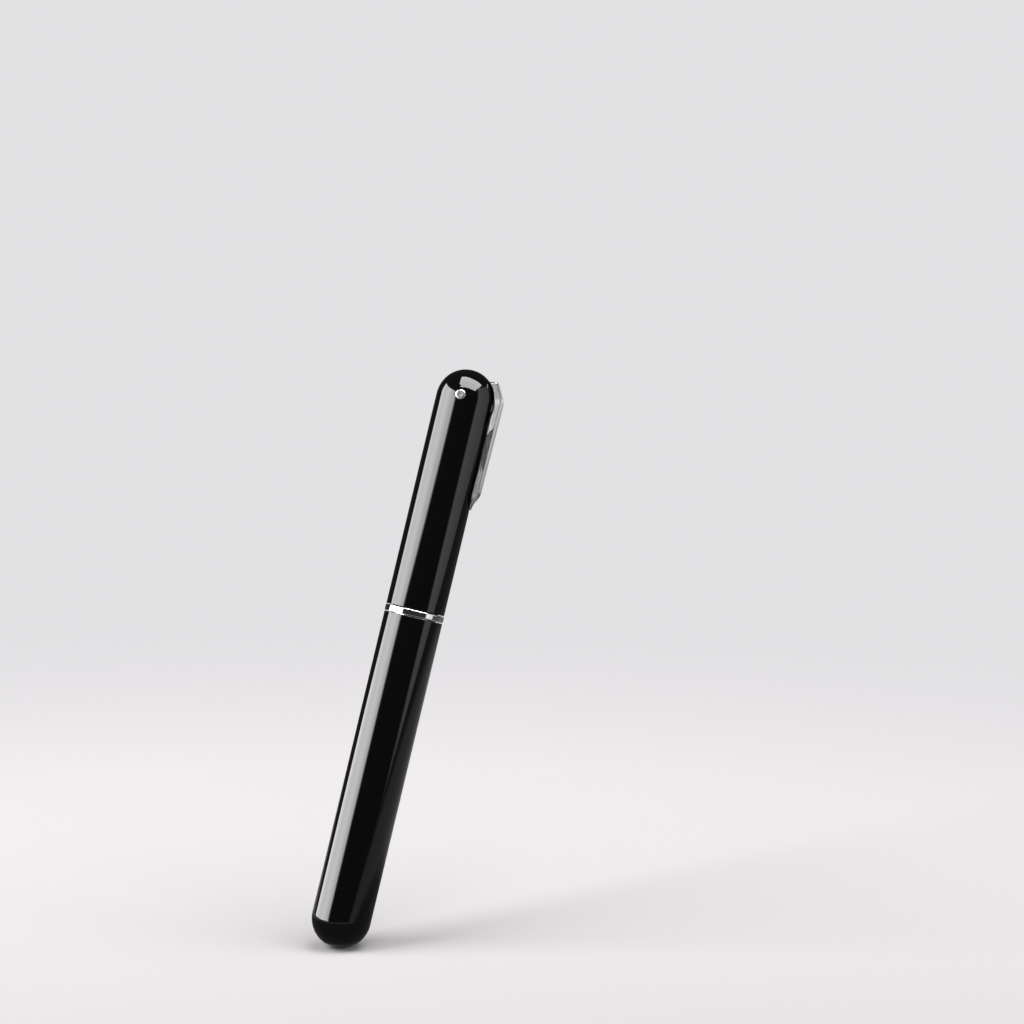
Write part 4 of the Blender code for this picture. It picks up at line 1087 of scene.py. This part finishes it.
def turned_metal(name, base, roughness, pitch, depth):
    """Metal off the lathe: bright, with rings that the tool left and a slightly uneven sheen."""
    material = new_material(name, base, roughness, 1.0)
    # Real tool marks lie 0.05 to 0.1 mm apart; they are drawn wider here so that they show
    lines = turned_lines(material, pitch)
    sheen = noise(material, 1.5 * MM, 3)
    link(material, ranged(material, sheen, roughness * 0.9, roughness * 1.15), "Roughness")
    bumped(material, lines, depth)
    return material


def moulded(name, base, roughness, grain, depth, uniform=None):
    """Plastic or rubber from a mould: an even colour with a fine grain and soft, uneven gloss."""
    material = new_material(name, base, roughness, uniform=uniform)
    grainy = noise(material, grain, 4)
    sheen = noise(material, 3 * MM, 2)
    link(material, ranged(material, sheen, roughness * 0.85, roughness * 1.15), "Roughness")
    bumped(material, grainy, depth)
    return material


MATERIALS = {}


def make_materials():
    """All finishes, by the short names that the pieces use."""
    c = bpy.context.scene.pen_colours
    MATERIALS["lacquer"] = gloss_lacquer()
    MATERIALS["chrome_long"] = chrome("polished_chrome_lengthwise", (1, 1, 0.03))
    MATERIALS["chrome_round"] = chrome("polished_chrome_around", (0.15, 0.15, 1), 0.04)
    MATERIALS["satin"] = satin_chrome("satin_chrome_brushed_lengthwise", 0.2)
    MATERIALS["blasted"] = satin_chrome("satin_chrome_bead_blasted", 0.3)
    MATERIALS["tube"] = chrome("drawn_tube_chrome_plated", (1, 1, 0.02), 0.07)
    MATERIALS["steel"] = turned_metal("ground_stainless_steel", c.steel, 0.2, 0.3 * MM, 0.0006 * MM)
    MATERIALS["needle"] = turned_metal("ground_needle_tube", c.steel, 0.14, 0.25 * MM, 0.0004 * MM)
    MATERIALS["wire"] = turned_metal("drawn_spring_wire", c.wire, 0.28, 0.2 * MM, 0.0004 * MM)
    MATERIALS["aluminium"] = turned_metal(
        "turned_aluminium", c.aluminium, 0.24, 0.35 * MM, 0.0012 * MM
    )
    MATERIALS["brass"] = turned_metal("turned_brass", c.brass, 0.2, 0.3 * MM, 0.0008 * MM)
    MATERIALS["nylon"] = moulded("moulded_nylon", c.nylon, 0.42, 0.12 * MM, 0.004 * MM)
    MATERIALS["acetal"] = moulded("turned_acetal", c.acetal, 0.35, 0.1 * MM, 0.002 * MM)
    MATERIALS["rubber"] = moulded("moulded_nitrile_rubber", c.rubber, 0.6, 0.08 * MM, 0.004 * MM)


def dressed(piece, material, slot, body, *nodes):
    """Gives a piece its finish, puts it on its body and lets it stand for its CAD nodes."""
    piece.data.materials.clear()
    piece.data.materials.append(MATERIALS[material])
    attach(piece, body)
    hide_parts(*nodes)
    return piece


class WINEOPENER_OT_barrels(bpy.types.Operator):
    """Black barrels of the handle and the cap"""

    bl_idname = "wine_opener.barrels"
    bl_label = "Barrels"

    def execute(self, context):
        dressed(handle_shell(), "lacquer", "black_lacquer", "handle", "handle_tube")
        dressed(cap_shell(), "lacquer", "black_lacquer", "cap", "cap_tube")
        return {"FINISHED"}


class WINEOPENER_OT_bright_trim(bpy.types.Operator):
    """Bright ring at the seam, pocket clip and the pin that it swings on"""

    bl_idname = "wine_opener.bright_trim"
    bl_label = "Ring, Clip and Pin"

    def execute(self, context):
        dressed(trim_ring(), "chrome_round", "chrome_plate", "pump", "trim_ring")
        dressed(clip_strap(), "satin", "chrome_plate", "clip", "clip")
        dressed(clip_pin(), "blasted", "chrome_plate", "cap", "clip_pin")
        return {"FINISHED"}


class WINEOPENER_OT_sleeves(bpy.types.Operator):
    """Guide bush, pump tube and the liner in the cap's mouth"""

    bl_idname = "wine_opener.sleeves"
    bl_label = "Bush, Tube and Liner"

    def execute(self, context):
        s = sizes()
        bush = sleeve("slide_bush", "guide_bush", s.bush_wall, s.lead, s.lead, s.fine_edge)
        dressed(bush, "acetal", "white_acetal", "handle", "guide_bush")
        tube = sleeve("pump_tube", "pump_cylinder", s.tube_wall, s.edge, s.edge, s.edge)
        dressed(tube, "tube", "chrome_plate", "pump", "pump_cylinder")
        liner = sleeve("mouth_liner", "cap_liner", s.liner_wall, s.lead, s.fine_edge, s.fine_edge)
        dressed(liner, "nylon", "black_nylon", "cap", "cap_liner")
        dressed(clip_block(), "nylon", "black_nylon", "cap", "clip_block")
        return {"FINISHED"}


class WINEOPENER_OT_head(bpy.types.Operator):
    """Head of the pump with its seals, fitting and needle"""

    bl_idname = "wine_opener.head"
    bl_label = "Pump Head and Needle"

    def execute(self, context):
        dressed(hub(), "aluminium", "aluminium", "pump", "needle_hub")
        dressed(rubber_ring("neck_seal", "neck_ring"), "rubber", "rubber", "pump", "neck_ring")
        dressed(rubber_ring("spigot_seal", "hub_seal"), "rubber", "rubber", "pump", "hub_seal")
        dressed(gasket(), "rubber", "rubber", "pump", "needle_gasket")
        dressed(ferrule(), "brass", "brass", "pump", "needle_ferrule")
        dressed(needle(), "needle", "bright_steel", "pump", "needle")
        dressed(ball(), "steel", "bright_steel", "valve", "valve_ball")
        return {"FINISHED"}


class WINEOPENER_OT_springs(bpy.types.Operator):
    """Spring of the check valve and spring of the clip"""

    bl_idname = "wine_opener.springs"
    bl_label = "Springs"

    def execute(self, context):
        wire = sizes().wire
        for name, node_name, turns, body, joint in (
            ("valve_coil", "valve_spring", 5, "pump", "valve_lift"),
            ("clip_coil", "clip_spring", 4, "cap", "clip_hinge"),
        ):
            piece = coil(name, node_name, turns, wire)
            dressed(piece, "wire", "spring_steel", body, node_name)
            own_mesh(piece)
        return {"FINISHED"}


class WINEOPENER_OT_piston(bpy.types.Operator):
    """Piston with its ring, screw, rod, nut and foot plug, and the gland that the rod runs in"""

    bl_idname = "wine_opener.piston"
    bl_label = "Piston and Rod"

    def execute(self, context):
        dressed(foot_plug(), "nylon", "black_nylon", "handle", "rod_anchor")
        dressed(lock_nut(), "steel", "bright_steel", "handle", "rod_lock_nut")
        dressed(rod(), "steel", "bright_steel", "handle", "piston_rod")
        dressed(piston(), "acetal", "white_acetal", "handle", "piston")
        dressed(rubber_ring("piston_seal", "piston_ring"), "rubber", "rubber", "handle", "piston_ring")
        dressed(clamp_screw(), "steel", "bright_steel", "handle", "piston_screw")
        dressed(gland(), "nylon", "black_nylon", "pump", "rod_gland")
        return {"FINISHED"}


def seen_only_in_gloss(piece):
    """A card that only shows in reflections: it neither lights nor shades anything."""
    piece.visible_camera = False
    piece.visible_diffuse = False
    piece.visible_transmission = False
    piece.visible_volume_scatter = False
    piece.visible_shadow = False


def camera_side(turn):
    """Unit vector at a turn in degrees from the camera's side of the pen, to the right."""
    stage = bpy.context.scene.pen_stage
    angles = stage.camera_azimuth + np.radians(turn)
    return np.stack((np.sin(angles), -np.cos(angles)), -1)


def soft_step(value, start, end):
    """Rises smoothly from 0 to 1 between start and end: 3 t squared less 2 t cubed."""
    share = np.clip((value - start) / (end - start), 0, 1)
    return share * share * (3 - 2 * share)


def curved_card(name, turns, heights, glow, sampled=False):
    """A card bent round the pen, between two turns from the camera's side and two heights.

    Its points are its distance times the direction of each turn. Its glow is a function of the
    turn and the height, which is kept as an attribute of its points.
    """
    stage = bpy.context.scene.pen_stage
    turn = np.linspace(turns[0], turns[1], 121)[:, None]
    height = np.linspace(heights[0], heights[1], 81)[None, :]
    way = camera_side(turn[:, 0]) * stage.card_distance
    points = np.stack((way[:, :1] + 0 * height, way[:, 1:] + 0 * height, height + 0 * turn), -1)
    card = grid_piece(name, points, around=False)
    level = card.data.attributes.new("glow", "FLOAT", "POINT")
    level.data.foreach_set("value", (glow(turn, height) + 0 * turn + 0 * height).ravel())
    glow_material(card, sampled)
    return card


def glow_material(card, sampled):
    """Light of the strength that the card's own attribute holds."""
    material = bpy.data.materials.new(card.name)
    material.use_nodes = True
    material.node_tree.nodes.clear()
    level = node(material, "ShaderNodeAttribute", {"attribute_name": "glow"}).outputs["Fac"]
    glow = node(material, "ShaderNodeEmission", Color=(1, 1, 1, 1), Strength=level)
    node(material, "ShaderNodeOutputMaterial", Surface=glow.outputs[0])
    material.cycles.emission_sampling = "FRONT_BACK" if sampled else "NONE"
    card.data.materials.append(material)
    seen_only_in_gloss(card)


def left_glow(turn, height):
    """Tall softbox at the left: brightest at its middle, with soft edges and a slanting top."""
    top = 0.474 - 0.105 * (turn + 112) / 63
    wider = 4.9 * soft_step(height, 0.12, 0.21) + 4.5 * soft_step(height, 0.10, 0.16) - 5.3
    longer = 7 * soft_step(-height, -0.13, -0.06)
    sides = soft_step(turn + longer, -113, -110.5) * soft_step(wider - turn, 41, 50)
    ends = soft_step(top - height, -0.004, 0.004)
    hot = 8.6 + 2.9 * np.exp(-(((turn + 74) / 15) ** 2))
    return DARK_RADIANCE + hot * sides * ends


def right_glow(turn, height):
    """Pale wall at the right, which narrows to nothing towards the table."""
    edge = 60 + 52 * np.clip((height - 0.02) / 0.2, 0, 1)
    level = 1.25 - 0.6 * np.clip((turn - 50) / 45, 0, 1)
    fade = 0.3 + 0.55 * soft_step(height, -0.02, 0.09) + 0.15 * soft_step(height, 0.09, 0.13)
    return DARK_RADIANCE + level * fade * soft_step(turn, 44, 52) * soft_step(edge - turn, 0, 8)


def back_glow(turn, height):
    """Dark wall behind, with pale cards that only the clip's outer face reflects.

    One faces its straight part, one its head and a dimmer one its nose.
    """
    strip = soft_step(turn, 126, 132) * soft_step(-turn, -166, -150)
    strip = strip * soft_step(height, 0.16, 0.17) * soft_step(-height, -0.235, -0.22)
    head = soft_step(turn, 135, 145) * soft_step(-turn, -205, -195)
    head = head * soft_step(height, 0.22, 0.235) * soft_step(-height, -0.34, -0.32)
    nose = soft_step(turn, 153, 157) * soft_step(-turn, -169, -165)
    nose = nose * soft_step(height, -0.01, 0.03) * soft_step(-height, -0.13, -0.11)
    return DARK_RADIANCE + 0.66 * strip + 0.8 * head + 0.5 * nose


def dark_glow(turn, height):
    return DARK_RADIANCE + 0 * turn


DARK_RADIANCE = 0.035
TABLE_RADIANCE = 0.09


def flat_card(name, points, radiance, sampled=False):
    """One flat face of even light."""
    mesh = bpy.data.meshes.new(name)
    mesh.from_pydata(points.tolist(), [], [list(range(len(points)))])
    level = mesh.attributes.new("glow", "FLOAT", "POINT")
    level.data.foreach_set("value", np.full(len(points), radiance))
    card = in_scene(name, mesh)
    glow_material(card, sampled)
    return card


def overhead_cards():
    """Flat softbox over the pen, given right of it and towards the camera, under a dark ceiling."""
    height = 0.79
    spots = np.array([(-0.54, 0.66), (0.46, 0.73), (0.48, 0.5), (0.45, 0.04), (0.1, 0.05), (-0.25, -0.05)])
    toward, right = camera_side(0.0), camera_side(90.0)
    flat = spots[:, :1] * right + spots[:, 1:] * toward
    flat_card("overhead_softbox", np.column_stack((flat, np.full(len(flat), height))), 10.5, True)
    turn = np.radians(np.arange(0, 360, 7.5))
    reach = 1.1
    ceiling = np.column_stack((reach * np.cos(turn), reach * np.sin(turn), 0 * turn + height + 0.02))
    flat_card("dark_ceiling", ceiling, DARK_RADIANCE)


def table_card():
    """Grey card just over the floor, so that the black lacquer mirrors a darker table.

    It is paler some way off, where only faces that look down mirror it.
    """
    stage = bpy.context.scene.pen_stage
    normal, first, second, touch = floor_frame()
    turn = np.linspace(0, TAU, 96, endpoint=False)[:, None, None]
    out = np.linspace(0.006, stage.floor_reach, 31)[None, :, None]
    points = touch + normal * 0.5 * MM + out * (np.cos(turn) * first + np.sin(turn) * second)
    card = grid_piece("table_card", points)
    pale = soft_step(out, 0.07, 0.11) * soft_step(-out, -0.42, -0.32)
    level = card.data.attributes.new("glow", "FLOAT", "POINT")
    level.data.foreach_set("value", (TABLE_RADIANCE + 0.25 * pale + 0 * turn).ravel())
    glow_material(card, False)


def make_cards():
    """Softboxes, a pale wall and dark cards, which the lacquer and the chrome reflect."""
    curved_card("left_softbox", (-121, -37), (-0.2, 0.481), left_glow, True)
    curved_card("right_wall", (43.5, 112), (-0.25, 0.81), right_glow)
    curved_card("front_dark_card", (-37, 43.5), (-0.25, 0.57), dark_glow)
    curved_card("back_dark_card", (112, 239), (-0.25, 0.81), back_glow)
    curved_card("upper_dark_card", (-121, -37), (0.481, 0.81), dark_glow)
    overhead_cards()
    table_card()


def floor_frame():
    """The floor's upward normal, two directions along it and its point under the foot."""
    stage = bpy.context.scene.pen_stage
    radius = span("handle_tube")[0]
    normal = np.array(
        (
            math.sin(stage.floor_tilt) * math.cos(stage.floor_turn),
            math.sin(stage.floor_tilt) * math.sin(stage.floor_turn),
            math.cos(stage.floor_tilt),
        )
    )
    first = np.cross((0, 1, 0), normal)
    first /= np.linalg.norm(first)
    touch = np.array((0, 0, radius)) - normal * (radius + 0.02 * MM)
    return normal, first, np.cross(normal, first), touch


def make_floor():
    """Pale disc that touches the domed foot and fades out before its rim."""
    stage, colours = bpy.context.scene.pen_stage, bpy.context.scene.pen_colours
    normal, first, second, touch = floor_frame()
    turn = np.linspace(0, TAU, 96, endpoint=False)[:, None, None]
    out = np.linspace(0, stage.floor_reach, 12)[None, :, None]
    points = touch + out * (np.cos(turn) * first + np.sin(turn) * second)
    floor = closed(grid_piece("floor", points))
    mesh = floor.data
    if Vector(mesh.polygons[0].normal).dot(Vector(normal)) < 0:
        mesh.flip_normals()
    material = bpy.data.materials.new("matt_painted_floor")
    material.use_nodes = True
    tree = material.node_tree
    tree.nodes.clear()
    paint = node(material, "ShaderNodeBsdfDiffuse", Color=(*colours.floor, 1), Roughness=1.0)
    away = node(material, "ShaderNodeVectorMath", {"operation": "LENGTH"}, Vector=place_of(material))
    fade = ranged(
        material, away.outputs["Value"], 0, 1, stage.floor_reach * 0.45, stage.floor_reach * 0.98
    )
    behind = node(material, "ShaderNodeNewGeometry").outputs["Backfacing"]
    gone = node(material, "ShaderNodeMath", {"operation": "MAXIMUM"}, i0=fade, i1=behind)
    clear = node(material, "ShaderNodeBsdfTransparent")
    mixed = node(
        material, "ShaderNodeMixShader", i0=gone.outputs[0], i1=paint.outputs[0], i2=clear.outputs[0]
    )
    node(material, "ShaderNodeOutputMaterial", Surface=mixed.outputs[0])
    mesh.materials.append(material)


def make_lamps():
    """Plain soft light from the left, from above and from the right."""
    for name, turn, height, distance, size, power in (
        ("key_lamp", -70, 0.5, 0.9, 0.7, 9.0),
        ("top_lamp", 10, 1.0, 0.3, 0.7, 8.0),
        ("fill_lamp", 75, 0.35, 0.9, 0.7, 3.5),
    ):
        data = bpy.data.lights.new(name, "AREA")
        data.shape = "SQUARE"
        data.size = size
        data.energy = power
        lamp = bpy.data.objects.new(name, data)
        bpy.context.scene.collection.objects.link(lamp)
        x, y = camera_side(float(turn)) * distance
        lamp.location = (x, y, height)
        lamp.rotation_mode = "QUATERNION"
        lamp.rotation_quaternion = (Vector((0, 0, 0.1)) - lamp.location).to_track_quat("-Z", "Y")
        lamp.visible_glossy = False


def make_world():
    """Pale backdrop for the camera and for reflections, and a softer level for diffuse light."""
    colours = bpy.context.scene.pen_colours
    world = bpy.data.worlds.new("studio")
    world.use_nodes = True
    bpy.context.scene.world = world
    tree = world.node_tree
    tree.nodes.clear()
    path = node(world, "ShaderNodeLightPath").outputs
    seen = node(world, "ShaderNodeMath", {"operation": "ADD"}, i0=path["Is Camera Ray"], i1=path["Is Glossy Ray"])
    seen = node(
        world,
        "ShaderNodeMath",
        {"operation": "ADD", "use_clamp": True},
        i0=seen.outputs[0],
        i1=path["Is Transmission Ray"],
    )
    backdrop = node(world, "ShaderNodeBackground", Color=(*colours.backdrop, 1), Strength=1.0)
    ambient = node(world, "ShaderNodeBackground", Color=(1, 1, 1, 1), Strength=0.35)
    mixed = node(
        world, "ShaderNodeMixShader", i0=seen.outputs[0], i1=ambient.outputs[0], i2=backdrop.outputs[0]
    )
    node(world, "ShaderNodeOutputWorld", Surface=mixed.outputs[0])


def make_camera():
    """Camera at the photograph's angle. It is rolled, so that the upright pen leans to the right."""
    stage = bpy.context.scene.pen_stage
    data = bpy.data.cameras.new("camera")
    data.lens = stage.camera_lens
    data.sensor_width = 36
    camera = bpy.data.objects.new("camera", data)
    bpy.context.scene.collection.objects.link(camera)
    toward, right = camera_side(0.0), camera_side(90.0)
    eye = Vector((*(toward * stage.camera_distance), stage.camera_height))
    aim = Vector((*(right * stage.aim_right), stage.aim_height))
    camera.location = eye
    camera.rotation_mode = "QUATERNION"
    roll = Quaternion((0, 0, 1), stage.camera_roll)
    camera.rotation_quaternion = (aim - eye).to_track_quat("-Z", "Y") @ roll
    bpy.context.scene.camera = camera


class WINEOPENER_OT_stage(bpy.types.Operator):
    """Pale floor, soft light, reflected cards and the camera"""

    bl_idname = "wine_opener.stage"
    bl_label = "Stage"

    def execute(self, context):
        make_floor()
        make_lamps()
        make_cards()
        make_world()
        make_camera()
        context.scene.view_settings.view_transform = "Standard"
        return {"FINISHED"}


OPERATORS = (
    WINEOPENER_OT_barrels,
    WINEOPENER_OT_bright_trim,
    WINEOPENER_OT_sleeves,
    WINEOPENER_OT_head,
    WINEOPENER_OT_springs,
    WINEOPENER_OT_piston,
    WINEOPENER_OT_stage,
)


class WINEOPENER_PT_panel(bpy.types.Panel):
    """Sizes, colours and stage, and a button for each group of pieces"""

    bl_idname = "WINEOPENER_PT_panel"
    bl_label = "Wine Opener"
    bl_space_type = "VIEW_3D"
    bl_region_type = "UI"
    bl_category = "Wine Opener"

    def draw(self, context):
        for group in (context.scene.pen_sizes, context.scene.pen_colours, context.scene.pen_stage):
            box = self.layout.box()
            for name in group.__annotations__:
                box.prop(group, name)
        for operator in OPERATORS:
            self.layout.operator(operator.bl_idname)


CLASSES = (PenSizes, PenColours, PenStage, *OPERATORS, WINEOPENER_PT_panel)


def register():
    for made in CLASSES:
        bpy.utils.register_class(made)
    bpy.types.Scene.pen_sizes = PointerProperty(type=PenSizes)
    bpy.types.Scene.pen_colours = PointerProperty(type=PenColours)
    bpy.types.Scene.pen_stage = PointerProperty(type=PenStage)


def unregister():
    del bpy.types.Scene.pen_stage
    del bpy.types.Scene.pen_colours
    del bpy.types.Scene.pen_sizes
    for made in reversed(CLASSES):
        bpy.utils.unregister_class(made)


def main():
    register()
    make_materials()
    bpy.ops.wine_opener.barrels()
    bpy.ops.wine_opener.bright_trim()
    bpy.ops.wine_opener.sleeves()
    bpy.ops.wine_opener.head()
    bpy.ops.wine_opener.springs()
    bpy.ops.wine_opener.piston()
    bpy.ops.wine_opener.stage()


if __name__ == "__main__":
    main()
